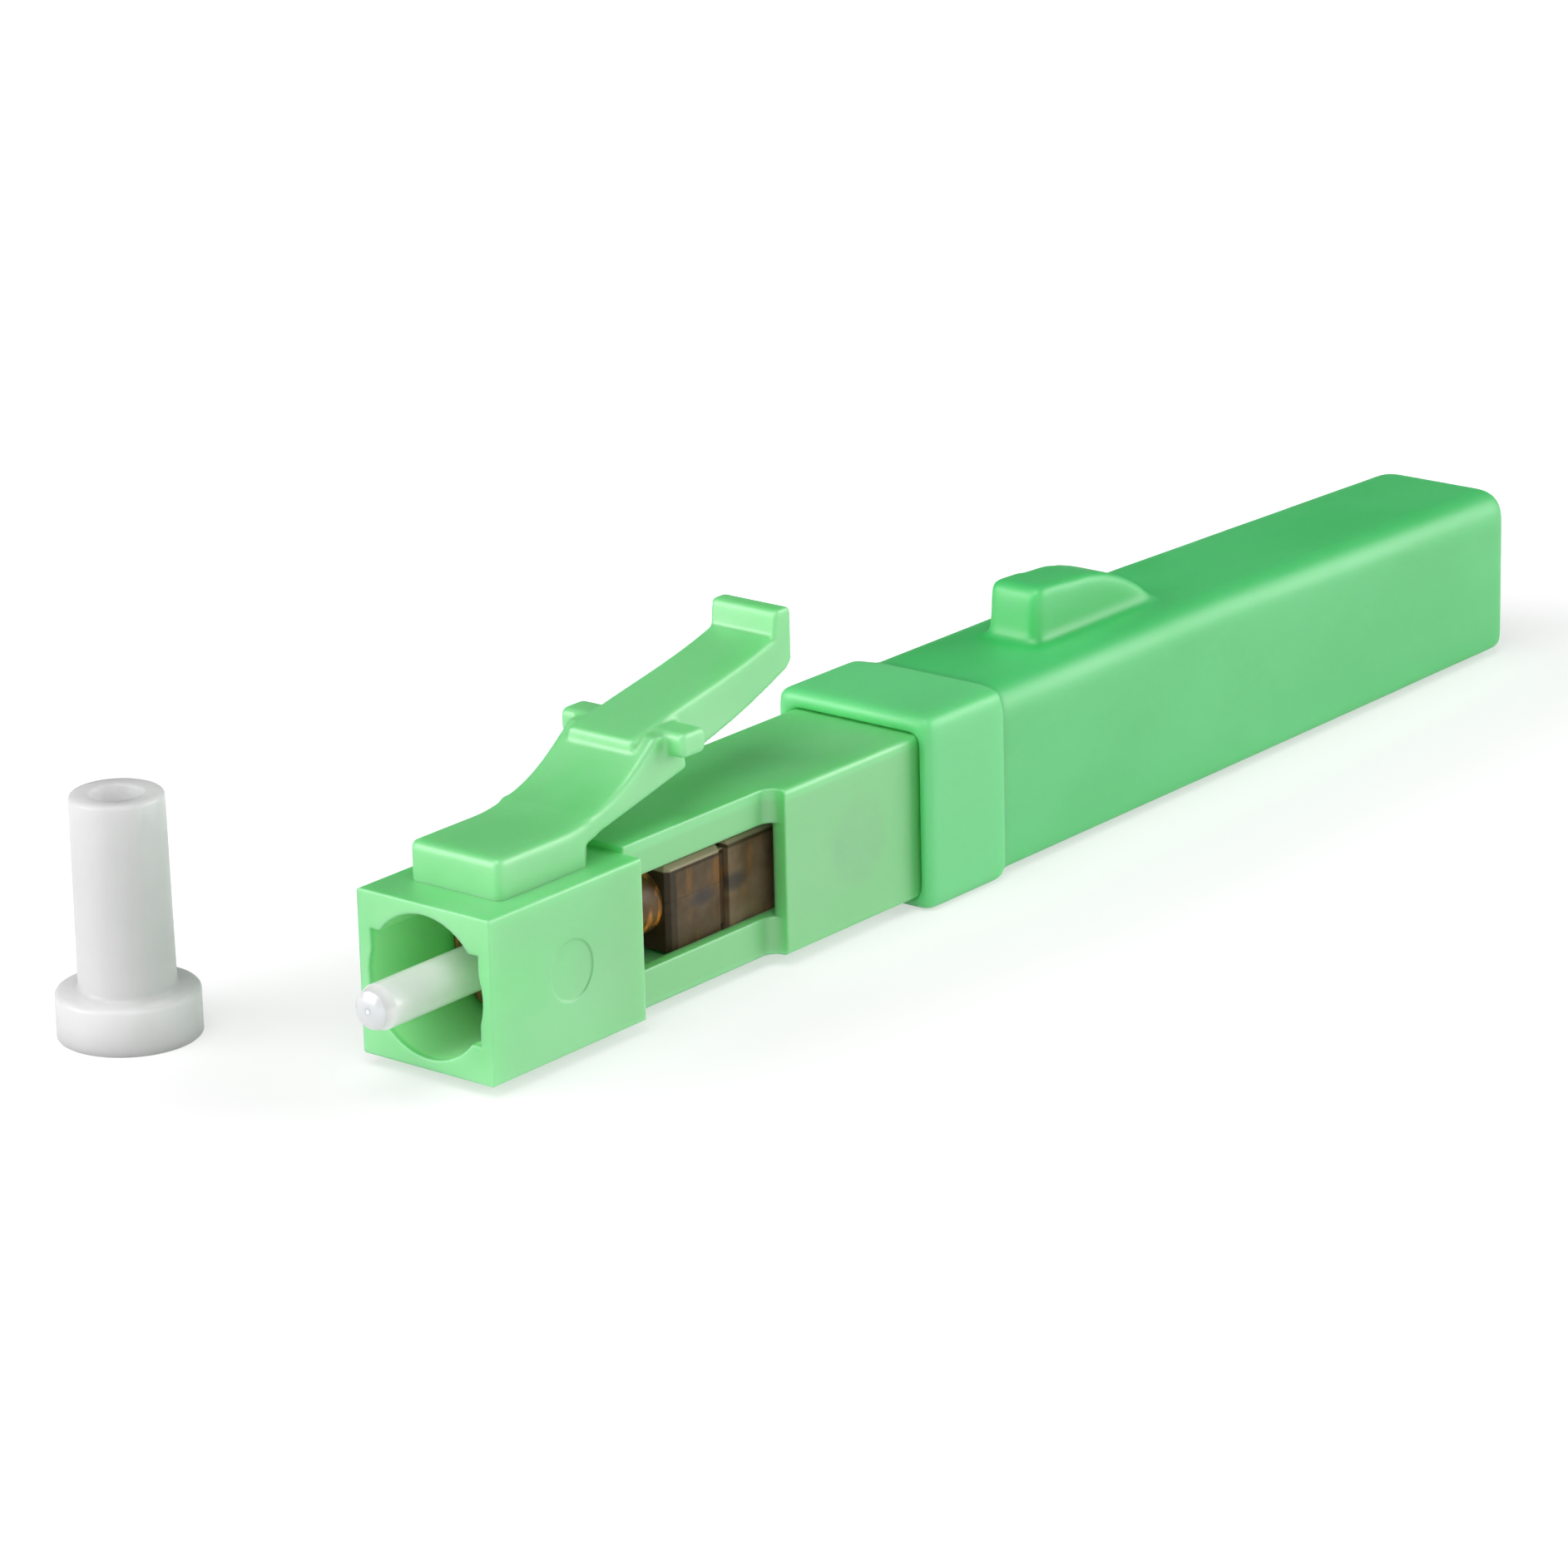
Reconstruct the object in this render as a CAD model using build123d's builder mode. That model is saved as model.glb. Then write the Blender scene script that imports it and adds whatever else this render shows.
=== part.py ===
from build123d import *
import math
import os

os.makedirs("parts", exist_ok=True)

# The connector lies along +X: the plug nose points to -X and the cable leaves at the back.
# The origin is the centre of the nose's front face, on the ferrule's axis. Sizes are in millimetres.

# Housing outside
nose_width = 4.52
nose_length = 6.0
nose_edge_radius = 0.08
body_step_up = 0.18
waist_width = 3.3
waist_length = 6.05
flare_radius = 0.42
wide_width = 4.4
wide_length = 8.55
housing_edge_radius = 0.15
side_mark_radius = 0.83
side_mark_depth = 0.03
side_mark_x = 3.15

# Housing inside
nose_bore_radius = 1.97
nose_bore_depth = 5.4
nose_slot_width = 3.72
nose_slot_height = 2.48
waist_wall = 0.35
waist_floor_wall = 0.84
waist_roof_wall = 0.92
window_sill_z = -1.2
window_height = 2.68
shoulder_setback = 0.8
wide_side_wall = 0.45
wide_floor_wall = 0.46
wide_roof_wall = 0.5
pocket_radius = 1.1
pocket_depth = 0.2
pocket_x = 15.2

# Latch pedestal on the nose, and the latch arm that bends at its root
latch_width = 3.05
pedestal_front_x = 1.27
pedestal_height = 1.08
pedestal_rise_x = 3.7
pedestal_corner_radius = 0.2
pedestal_top_radius = 0.18
root_x = 5.0
root_radius = 0.3
root_depth = 0.12
root_clearance = 0.02
root_lip = 0.1
root_undercut = 0.28
arm_slope_deg = 13.0
arm_start_slope_deg = 12.4
arm_sweep_x = 6.35
arm_sweep_rise = 0.84
arm_shoulder_x = 7.6
arm_shoulder_rise = 1.74
arm_shoulder_slope = 0.75
arm_rear_x = 8.85
arm_rear_lean = 0.2
arm_edge_chamfer = 0.08

# Side lugs of the latch
lug_span = 4.24
lug_front_x = 7.98
lug_length = 0.98
lug_height = 0.7
lug_top_rise = 1.84
lug_corner_radius = 0.18
lug_end_chamfer = 0.08

# Thumb lever and its upturned tip
lever_width = 2.24
lever_front_x = 7.05
lever_front_lean = 0.07
lever_front_rise = 1.71
lever_mid_x = 9.33
lever_mid_rise = 2.18
lever_knee_x = 11.73
lever_knee_rise = 2.66
lever_knee_depth = 1.33
lever_edge_radius = 0.12
tip_back_x = 13.8
tip_thickness = 0.7
tip_root_rise = 3.04
tip_rise = 3.76
tip_face_lean = 0.08
tip_foot_rise = 2.05
tip_foot_chamfer = 0.2
tip_edge_radius = 0.14

# Ferrule, its flange and the factory fibre
ferrule_diameter = 1.249
ferrule_length = 7.2
ferrule_stick_out = 2.2
ferrule_tip_chamfer = 0.22
fibre_diameter = 0.125
fibre_bore_clearance = 0.002
ferrule_seat_taper = 0.03
flange_front_x = 3.0
flange_length = 1.4
flange_clearance = 0.12
flange_neck_radius = 0.95
flange_edge_chamfer = 0.15

# Splice block that floats with the ferrule
splice_front_x = 8.35
splice_side_gap = 0.17
splice_floor_gap = 0.1
splice_height = 2.44
splice_chamfer = 0.12
clamp_front_x = 10.75
clamp_groove = 0.25
clamp_wall = 0.2
clamp_side_gap = 0.05
clamp_length = 5.1
clamp_stop_width = 3.2
clamp_stop_length = 0.4
stop_gap = 0.02
fibre_parting = 0.008
groove_angle_deg = 90.0
stub_end_x = 11.6
splice_tail_radius = 0.72
splice_tail_length = 1.6
funnel_radius = 0.42
funnel_length = 1.0
float_travel = 0.6

# Coil spring behind the splice block
spring_wire = 0.25
spring_wire_sides = 6
spring_mean_radius = 1.02
spring_turns = 5
spring_seat_gap = 0.02

# Inner frame that snaps into the housing and carries the cable clamp
frame_fit = 0.04
frame_arm_gap = 0.08
frame_arm_thickness = 0.3
frame_seat_x = 19.3
boss_clearance = 0.05
frame_flange_length = 0.25
trough_width = 3.86
trough_floor_z = -1.95
trough_top_z = 1.88
trough_wall = 0.36
trough_floor = 0.35
trough_rear_x = 44.6
trough_corner = 0.3
guide_radius = 0.5
guide_bore_radius = 0.16
guide_funnel_radius = 0.38
guide_length = 4.6
guide_front_gap = 0.5
guide_fit = 0.02

# Cable clamp jaws, for a flat cable 3.0 wide and 2.0 high
cable_width = 3.0
cable_height = 2.0
cable_clearance = 0.1
jaw_front_x = 33.0
jaw_length = 8.0
jaw_side_gap = 0.03
tooth_pitch = 1.0
tooth_height = 0.22
tooth_base = 0.5

# Tail sleeve: collar, tapering tube and thumb tab
collar_width = 5.36
collar_front_x = 17.7
collar_length = 3.5
collar_top_wall = 0.53
collar_floor_wall = 0.31
collar_edge_radius = 0.3
collar_front_rim = 0.12
collar_rear_rim = 0.06
sleeve_fit = 0.05
sleeve_stop_gap = 0.05
tail_front_width = 5.0
tail_rear_width = 4.8
tail_front_top_z = 2.94
tail_rear_top_z = 2.6
tail_floor_z = -2.46
tail_taper_x = 32.5
tail_rear_x = 47.5
tail_top_radius = 0.8
tail_floor_radius = 0.25
tail_rear_radius = 0.6
tail_rear_wall = 1.0
tail_cavity_gap = 0.07
entry_chamfer = 0.15
tab_front_x = 25.0
tab_front_lean = 0.18
tab_width = 1.8
tab_height = 1.66
tab_top_length = 2.4
tab_top_fall = 0.15
tab_length = 5.9
tab_root = 0.2
tab_edge_radius = 0.25

# Dust cap, standing on its flange beside the nose
cap_x = -1.83
cap_y = 8.97
cap_flange_diameter = 3.88
cap_flange_height = 1.3
cap_height = 6.7
cap_tube_diameter = 2.62
cap_draft = 0.04
cap_bore_diameter = 1.35
cap_bore_depth = 5.6
cap_edge_chamfer = 0.15

# Places that follow from the sizes above
nose_half = nose_width / 2
body_top = nose_half + body_step_up
body_height = nose_width + body_step_up
waist_half = waist_width / 2
wide_x = nose_length + waist_length
wide_half = wide_width / 2
housing_end = wide_x + wide_length
waist_cavity_half = waist_half - waist_wall
waist_cavity_floor = -nose_half + waist_floor_wall
waist_cavity_roof = body_top - waist_roof_wall
shoulder_x = wide_x + shoulder_setback
wide_cavity_half = wide_half - wide_side_wall
wide_cavity_floor = -nose_half + wide_floor_wall
wide_cavity_roof = body_top - wide_roof_wall
root_z = nose_half + pedestal_height - root_depth
splice_half = waist_cavity_half - splice_side_gap
splice_floor = waist_cavity_floor + splice_floor_gap
splice_top = splice_floor + splice_height
parting_z = fibre_diameter / 2 + fibre_parting
clamp_half = waist_cavity_half - clamp_side_gap
clamp_floor = waist_cavity_floor + clamp_side_gap
clamp_top = splice_top + splice_chamfer / 2
clamp_end = clamp_front_x + clamp_length
core_half = clamp_half - clamp_wall
core_floor = clamp_floor + clamp_wall
core_top = clamp_top - clamp_wall
trough_half = trough_width / 2
trough_inner_half = trough_half - trough_wall
floor_z = -nose_half - sleeve_fit - collar_floor_wall


def box_between(x_range, y_range, z_range, mode=Mode.ADD):
    """Adds or cuts a block given by its limits along each axis."""
    middle = [(low + high) / 2 for low, high in (x_range, y_range, z_range)]
    size = [high - low for low, high in (x_range, y_range, z_range)]
    with Locations(tuple(middle)):
        Box(*size, mode=mode)


# Front housing: nose, waist, flared wide section and latch pedestal in one moulding
with BuildPart() as front_housing:
    with BuildSketch(Plane.YZ):
        Rectangle(nose_width, nose_width)
    extrude(amount=nose_length)
    fillet(front_housing.edges().filter_by(Axis.X), nose_edge_radius)

    with BuildSketch(Plane.XY.offset(-nose_half)):
        with BuildLine():
            rear_of_nose = Line((nose_length, 0), (nose_length, waist_half))
            waist_side = Line(rear_of_nose @ 1, (wide_x - flare_radius, waist_half))
            flare = TangentArc(waist_side @ 1, (wide_x, waist_half + flare_radius), tangent=(1, 0))
            flare_lip = Line(flare @ 1, (wide_x, wide_half))
            wide_side = Line(flare_lip @ 1, (housing_end, wide_half))
            Line(wide_side @ 1, (housing_end, 0))
            mirror(about=Plane.XZ)
        make_face()
    extrude(amount=body_height)
    long_edges = front_housing.edges().filter_by(Axis.X).filter_by_position(Axis.X, wide_x, housing_end)
    fillet(long_edges, housing_edge_radius)

    # Pedestal that the latch grows from, with a round seat at its back for the arm's root
    pedestal_top = nose_half + pedestal_height
    pedestal_foot = nose_half - waist_wall
    seat_lip_x = root_x - root_lip
    seat_foot_x = root_x - root_undercut
    with BuildPart(mode=Mode.PRIVATE) as pedestal:
        with BuildSketch(Plane.XZ):
            with BuildLine():
                pedestal_face = Line((pedestal_front_x, pedestal_foot), (pedestal_front_x, pedestal_top))
                level_top = Line(pedestal_face @ 1, (pedestal_rise_x, pedestal_top))
                rising_top = TangentArc(
                    level_top @ 1, (seat_lip_x, root_z + root_radius - root_clearance), tangent=(1, 0)
                )
                Polyline(
                    rising_top @ 1,
                    (seat_lip_x, root_z - root_lip),
                    (seat_foot_x, root_z - root_undercut),
                    (seat_foot_x - root_lip, pedestal_foot),
                    pedestal_face @ 0,
                )
            make_face()
        extrude(amount=latch_width / 2, both=True)
        fillet(pedestal.edges().filter_by(Axis.Z).group_by(Axis.X)[0], pedestal_corner_radius)
        top_rim = pedestal.faces().filter_by(Axis.Z).sort_by(Axis.Z)[-1].edges().sort_by(Axis.X)[:-1]
        fillet(top_rim, pedestal_top_radius)
    add(pedestal.part)
    with Locations(Location((root_x, 0, root_z), (90, 0, 0))):
        Cylinder(root_radius + root_clearance, latch_width, mode=Mode.SUBTRACT)

    # Nose opening: a round bore crossed by a flat slot
    with BuildSketch(Plane.YZ):
        Circle(nose_bore_radius)
        Rectangle(nose_slot_width, nose_slot_height)
    extrude(amount=nose_bore_depth, mode=Mode.SUBTRACT)

    # Waist cavity and the wider cavity behind its shoulder
    box_between(
        (nose_bore_depth, shoulder_x),
        (-waist_cavity_half, waist_cavity_half),
        (waist_cavity_floor, waist_cavity_roof),
        Mode.SUBTRACT,
    )
    box_between(
        (shoulder_x, housing_end),
        (-wide_cavity_half, wide_cavity_half),
        (wide_cavity_floor, wide_cavity_roof),
        Mode.SUBTRACT,
    )

    # Window through both sides of the waist, from the nose's back to the lip of the flare
    box_between(
        (nose_length, wide_x),
        (-wide_half, wide_half),
        (window_sill_z, window_sill_z + window_height),
        Mode.SUBTRACT,
    )

    # The window runs on behind the flare, so the clamp sleeve fills its back end
    box_between(
        (wide_x, shoulder_x),
        (-wide_cavity_half, wide_cavity_half),
        (window_sill_z, window_sill_z + window_height),
        Mode.SUBTRACT,
    )

    # Round blind pockets inside the side walls, for the frame's snap bosses
    with Locations(Location((pocket_x, 0, 0), (90, 0, 0))):
        Cylinder(pocket_radius, 2 * (wide_cavity_half + pocket_depth), mode=Mode.SUBTRACT)

    # Faint round mould marks on the nose's sides
    for side in (-1, 1):
        with Locations(Location((side_mark_x, side * nose_half, 0), (90, 0, 0))):
            Cylinder(side_mark_radius, 2 * side_mark_depth, mode=Mode.SUBTRACT)

front_housing.part.label = "front_housing"
export_step(front_housing.part, "parts/front_housing.step")


# Latch arm: swept arm with a round root, side lugs, thumb lever and upturned tip
arm_slope = math.radians(arm_slope_deg)
under_x = root_x + root_radius * math.sin(arm_slope)
under_z = root_z - root_radius * math.cos(arm_slope)


def underside_z(x):
    """Height of the arm's straight underside at a place along the connector."""
    return under_z + (x - under_x) * math.tan(arm_slope)


start_slope = math.radians(arm_start_slope_deg)
arm_start = (root_x - root_radius * math.sin(start_slope), root_z + root_radius * math.cos(start_slope))
arm_shoulder_z = root_z + arm_shoulder_rise
with BuildPart() as latch_arm:
    with BuildSketch(Plane.XZ):
        with BuildLine():
            root_front = ThreePointArc((under_x, under_z), (root_x - root_radius, root_z), arm_start)
            sweep_up = Spline(
                root_front @ 1,
                (arm_sweep_x, root_z + arm_sweep_rise),
                (arm_shoulder_x, arm_shoulder_z),
                tangents=[(1, math.tan(start_slope)), (1, arm_shoulder_slope)],
            )
            shoulder = Line(sweep_up @ 1, (arm_rear_x - arm_rear_lean, arm_shoulder_z))
            rear = Line(shoulder @ 1, (arm_rear_x, underside_z(arm_rear_x)))
            Line(rear @ 1, (under_x, under_z))
        make_face()
    extrude(amount=latch_width / 2, both=True)
    arm_sides = latch_arm.faces().filter_by(Axis.Y)
    swept_edges = [side.edges().filter_by(GeomType.BSPLINE) for side in arm_sides]
    chamfer(swept_edges, arm_edge_chamfer)

    # Side lugs, a short rounded bar across the arm
    lug_x_range = (lug_front_x, lug_front_x + lug_length)
    lug_z_range = (root_z + lug_top_rise - lug_height, root_z + lug_top_rise)
    with BuildPart(mode=Mode.PRIVATE) as lug_bar:
        box_between(lug_x_range, (-lug_span / 2, lug_span / 2), lug_z_range)
        fillet(lug_bar.edges().filter_by(Axis.Y), lug_corner_radius)
        lug_ends = lug_bar.faces().filter_by(Axis.Y)
        chamfer([lug_end.edges() for lug_end in lug_ends], lug_end_chamfer)
    add(lug_bar.part)

    # Thumb lever, thicker and narrower than the arm, running up to the tip
    tip_face_x = tip_back_x - tip_thickness
    with BuildPart(mode=Mode.PRIVATE) as lever:
        with BuildSketch(Plane.XZ):
            with BuildLine():
                lever_face = Line(
                    (lever_front_x, root_z + arm_sweep_rise),
                    (lever_front_x + lever_front_lean, root_z + lever_front_rise),
                )
                lever_top = Spline(
                    lever_face @ 1,
                    (lever_mid_x, root_z + lever_mid_rise),
                    (lever_knee_x, root_z + lever_knee_rise),
                    (tip_face_x, root_z + tip_root_rise),
                )
                tip_face = Line(lever_top @ 1, (tip_face_x + tip_face_lean, root_z + tip_rise))
                tip_top = Line(tip_face @ 1, (tip_back_x, root_z + tip_rise))
                tip_back = Line(tip_top @ 1, (tip_back_x, root_z + tip_foot_rise + tip_foot_chamfer))
                tip_foot = Line(tip_back @ 1, (tip_back_x - tip_foot_chamfer, root_z + tip_foot_rise))
                lever_under = Spline(
                    tip_foot @ 1,
                    (lever_knee_x, root_z + lever_knee_rise - lever_knee_depth),
                    (arm_rear_x, underside_z(arm_rear_x)),
                )
                Line(lever_under @ 1, lever_face @ 0)
            make_face()
        extrude(amount=lever_width / 2, both=True)
        tip_rims = lever.edges().filter_by(Axis.Y).group_by(Axis.Z)[-1]
        fillet(tip_rims, tip_edge_radius)
        lever_sides = lever.faces().filter_by(Axis.Y)
        lever_rims = [side.edges().filter_by(GeomType.BSPLINE).sort_by(Axis.Z)[-1] for side in lever_sides]
        fillet(lever_rims, lever_edge_radius)
    add(lever.part)

latch_arm.part.label = "latch_arm"
export_step(latch_arm.part, "parts/latch_arm.step")


# Ferrule: domed and bevelled tip, fine bore for the fibre, slight taper where the flange holds it
ferrule_radius = ferrule_diameter / 2
ferrule_tip_x = -ferrule_stick_out
ferrule_end_x = ferrule_tip_x + ferrule_length
fibre_bore_radius = fibre_diameter / 2 + fibre_bore_clearance
with BuildPart() as ferrule:
    with BuildSketch(Plane.XZ):
        with BuildLine():
            bore_line = Line((ferrule_end_x, fibre_bore_radius), (ferrule_tip_x, fibre_bore_radius))
            dome = ThreePointArc(
                bore_line @ 1,
                (ferrule_tip_x + ferrule_tip_chamfer / 8, ferrule_radius / 2),
                (ferrule_tip_x + ferrule_tip_chamfer / 2, ferrule_radius - ferrule_tip_chamfer / 2),
            )
            bevel = Line(dome @ 1, (ferrule_tip_x + 2 * ferrule_tip_chamfer, ferrule_radius))
            barrel = Line(bevel @ 1, (flange_front_x, ferrule_radius))
            held_end = Line(barrel @ 1, (ferrule_end_x, ferrule_radius - ferrule_seat_taper))
            Line(held_end @ 1, bore_line @ 0)
        make_face()
    revolve(axis=Axis.X)

ferrule.part.label = "ferrule"
export_step(ferrule.part, "parts/ferrule.step")


# Factory fibre, from the ferrule's tip into the splice groove
with BuildPart() as fibre_stub:
    with BuildSketch(Plane.YZ.offset(ferrule_tip_x)):
        Circle(fibre_diameter / 2)
    extrude(amount=stub_end_x - ferrule_tip_x)

fibre_stub.part.label = "fibre_stub"
export_step(fibre_stub.part, "parts/fibre_stub.step")


# Ferrule flange: a round head in the nose bore and a neck back to the splice block
flange_head_radius = nose_bore_radius - flange_clearance
flange_head_end = flange_front_x + flange_length
with BuildPart() as ferrule_flange:
    with BuildSketch(Plane.YZ.offset(flange_front_x)):
        Circle(flange_head_radius)
    extrude(amount=flange_length)
    chamfer(ferrule_flange.edges().filter_by(GeomType.CIRCLE), flange_edge_chamfer)
    with BuildSketch(Plane.YZ.offset(flange_head_end)):
        Circle(flange_neck_radius)
    extrude(amount=splice_front_x - flange_head_end)
    held_length = ferrule_end_x - flange_front_x
    with Locations(Location((flange_front_x + held_length / 2, 0, 0), (0, 90, 0))):
        Cone(ferrule_radius, ferrule_radius - ferrule_seat_taper, held_length, mode=Mode.SUBTRACT)
    with BuildSketch(Plane.YZ.offset(flange_front_x)):
        Circle(fibre_bore_radius)
    extrude(amount=splice_front_x - flange_front_x, mode=Mode.SUBTRACT)

ferrule_flange.part.label = "ferrule_flange"
export_step(ferrule_flange.part, "parts/ferrule_flange.step")


# Splice base: visible block, slimmer core inside the clamp, round tail for the spring
groove_half = math.tan(math.radians(groove_angle_deg / 2))
groove_apex_z = -fibre_diameter / 2 / math.sin(math.radians(groove_angle_deg / 2)) - fibre_parting
groove_top_half = (parting_z - groove_apex_z) * groove_half
core_front_x = clamp_front_x - clamp_groove
tail_end_x = clamp_end + splice_tail_length
with BuildPart() as splice_base:
    box_between((splice_front_x, core_front_x), (-splice_half, splice_half), (splice_floor, parting_z))
    front_corners = splice_base.edges().filter_by(Axis.Z).group_by(Axis.X)[0]
    chamfer(front_corners, splice_chamfer)
    box_between((core_front_x, clamp_end), (-core_half, core_half), (core_floor, parting_z))
    with BuildSketch(Plane.YZ.offset(clamp_end)):
        Circle(splice_tail_radius)
    extrude(amount=splice_tail_length)
    with BuildSketch(Plane.YZ.offset(splice_front_x)):
        with BuildLine():
            Polyline(
                (0, groove_apex_z), (groove_top_half, parting_z), (-groove_top_half, parting_z), close=True
            )
        make_face()
    extrude(amount=clamp_end - splice_front_x, mode=Mode.SUBTRACT)
    with BuildSketch(Plane.YZ.offset(clamp_end)):
        Circle(groove_top_half)
    extrude(amount=splice_tail_length, mode=Mode.SUBTRACT)
    with Locations(Location((tail_end_x - funnel_length / 2, 0, 0), (0, 90, 0))):
        Cone(groove_top_half, funnel_radius, funnel_length, mode=Mode.SUBTRACT)

splice_base.part.label = "splice_base"
export_step(splice_base.part, "parts/splice_base.step")


# Splice lid, pressed onto the base over the fibre
with BuildPart() as splice_lid:
    box_between((splice_front_x, core_front_x), (-splice_half, splice_half), (parting_z, splice_top))
    lid_front = splice_lid.edges().filter_by(Axis.Z).group_by(Axis.X)[0]
    chamfer(lid_front, splice_chamfer)
    lid_top = splice_lid.edges().filter_by(Axis.X).group_by(Axis.Z)[-1]
    chamfer(lid_top, splice_chamfer)
    box_between((core_front_x, clamp_end), (-core_half, core_half), (parting_z, core_top))

splice_lid.part.label = "splice_lid"
export_step(splice_lid.part, "parts/splice_lid.step")


# Clamp sleeve round base and lid, with the flange that stops on the housing's shoulder
stop_front_x = shoulder_x + stop_gap
stop_half = clamp_stop_width / 2
with BuildPart() as clamp_sleeve:
    box_between((clamp_front_x, clamp_end), (-clamp_half, clamp_half), (clamp_floor, clamp_top))
    sleeve_top = clamp_sleeve.edges().filter_by(Axis.X).group_by(Axis.Z)[-1]
    chamfer(sleeve_top, splice_chamfer)
    box_between(
        (stop_front_x, stop_front_x + clamp_stop_length), (-stop_half, stop_half), (-stop_half, stop_half)
    )
    box_between((clamp_front_x, clamp_end), (-core_half, core_half), (core_floor, core_top), Mode.SUBTRACT)

clamp_sleeve.part.label = "clamp_sleeve"
export_step(clamp_sleeve.part, "parts/clamp_sleeve.step")


# Coil spring between the clamp sleeve and the frame's seat
spring_front_x = clamp_end + spring_seat_gap
spring_back_x = frame_seat_x - spring_seat_gap
coil_height = spring_back_x - spring_front_x - spring_wire
with BuildPart() as ferrule_spring:
    with BuildLine() as coil:
        Helix(
            pitch=coil_height / spring_turns,
            height=coil_height,
            radius=spring_mean_radius,
            center=(spring_front_x + spring_wire / 2, 0, 0),
            direction=(1, 0, 0),
        )
    with BuildSketch(Plane(origin=coil.line @ 0, z_dir=coil.line % 0)):
        RegularPolygon(spring_wire / 2, spring_wire_sides)
    sweep(path=coil.line, is_frenet=True)

ferrule_spring.part.label = "ferrule_spring"
export_step(ferrule_spring.part, "parts/ferrule_spring.step")


# Inner frame: snap arms, spring seat, bulkhead, flange and the open cable trough
frame_half = wide_cavity_half - frame_fit
frame_arm_front_x = stop_front_x + clamp_stop_length + float_travel + frame_arm_gap
frame_floor = wide_cavity_floor + frame_fit
frame_roof = wide_cavity_roof - frame_fit
flange_end_x = housing_end + frame_flange_length
guide_front_x = frame_seat_x + guide_front_gap
guide_rear_x = guide_front_x + guide_length
with BuildPart() as cable_frame:
    box_between((frame_seat_x, housing_end), (-frame_half, frame_half), (frame_floor, frame_roof))
    for side in (-1, 1):
        arm_limits = sorted((side * frame_half, side * (frame_half - frame_arm_thickness)))
        box_between((frame_arm_front_x, frame_seat_x), tuple(arm_limits), (frame_floor, frame_roof))
        boss_middle = side * (wide_cavity_half + pocket_depth - boss_clearance - frame_arm_thickness / 2)
        with Locations(Location((pocket_x, boss_middle, 0), (90, 0, 0))):
            Cylinder(pocket_radius - boss_clearance, frame_arm_thickness)
    box_between((housing_end, flange_end_x), (-wide_half, wide_half), (-nose_half, body_top))
    box_between((flange_end_x, trough_rear_x), (-trough_half, trough_half), (trough_floor_z, trough_top_z))
    trough_bottom = cable_frame.edges().filter_by(Axis.X).filter_by_position(
        Axis.X, flange_end_x, trough_rear_x
    ).group_by(Axis.Z)[0]
    chamfer(trough_bottom, trough_corner)
    box_between(
        (guide_rear_x, trough_rear_x),
        (-trough_inner_half, trough_inner_half),
        (trough_floor_z + trough_floor, trough_top_z),
        Mode.SUBTRACT,
    )
    with BuildSketch(Plane.YZ.offset(frame_seat_x)):
        Circle(splice_tail_radius + guide_fit)
    extrude(amount=guide_front_gap, mode=Mode.SUBTRACT)
    with BuildSketch(Plane.YZ.offset(guide_front_x)):
        Circle(guide_radius + guide_fit)
    extrude(amount=guide_length, mode=Mode.SUBTRACT)

cable_frame.part.label = "cable_frame"
export_step(cable_frame.part, "parts/cable_frame.step")


# Fibre guide: a fine tube with a funnel at its cable end
with BuildPart() as fibre_guide:
    with BuildSketch(Plane.YZ.offset(guide_front_x)):
        Circle(guide_radius)
        Circle(guide_bore_radius, mode=Mode.SUBTRACT)
    extrude(amount=guide_length)
    with Locations(Location((guide_rear_x - funnel_length / 2, 0, 0), (0, 90, 0))):
        Cone(guide_bore_radius, guide_funnel_radius, funnel_length, mode=Mode.SUBTRACT)

fibre_guide.part.label = "fibre_guide"
export_step(fibre_guide.part, "parts/fibre_guide.step")


# Toothed jaws above and below the cable's place in the trough
cable_gap_half = (cable_height + cable_clearance) / 2
jaw_half = trough_inner_half - jaw_side_gap
jaw_end_x = jaw_front_x + jaw_length
tooth_count = int(jaw_length // tooth_pitch)
jaw_limits = {
    "jaw_lower": (trough_floor_z + trough_floor, -cable_gap_half - tooth_height),
    "jaw_upper": (cable_gap_half + tooth_height, trough_top_z),
}
for jaw_name, (jaw_low_z, jaw_high_z) in jaw_limits.items():
    grip_z = jaw_high_z if jaw_name == "jaw_lower" else jaw_low_z
    toward_cable = math.copysign(tooth_height, -grip_z)
    with BuildPart() as jaw:
        box_between((jaw_front_x, jaw_end_x), (-jaw_half, jaw_half), (jaw_low_z, jaw_high_z))
        for tooth in range(tooth_count):
            tooth_x = jaw_front_x + (tooth + 0.5) * tooth_pitch
            with BuildSketch(Plane.XZ):
                with BuildLine():
                    Polyline(
                        (tooth_x - tooth_base / 2, grip_z),
                        (tooth_x + tooth_base / 2, grip_z),
                        (tooth_x, grip_z + toward_cable),
                        close=True,
                    )
                make_face()
            extrude(amount=cable_width / 2, both=True)
    jaw.part.label = jaw_name
    export_step(jaw.part, f"parts/{jaw_name}.step")


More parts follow.
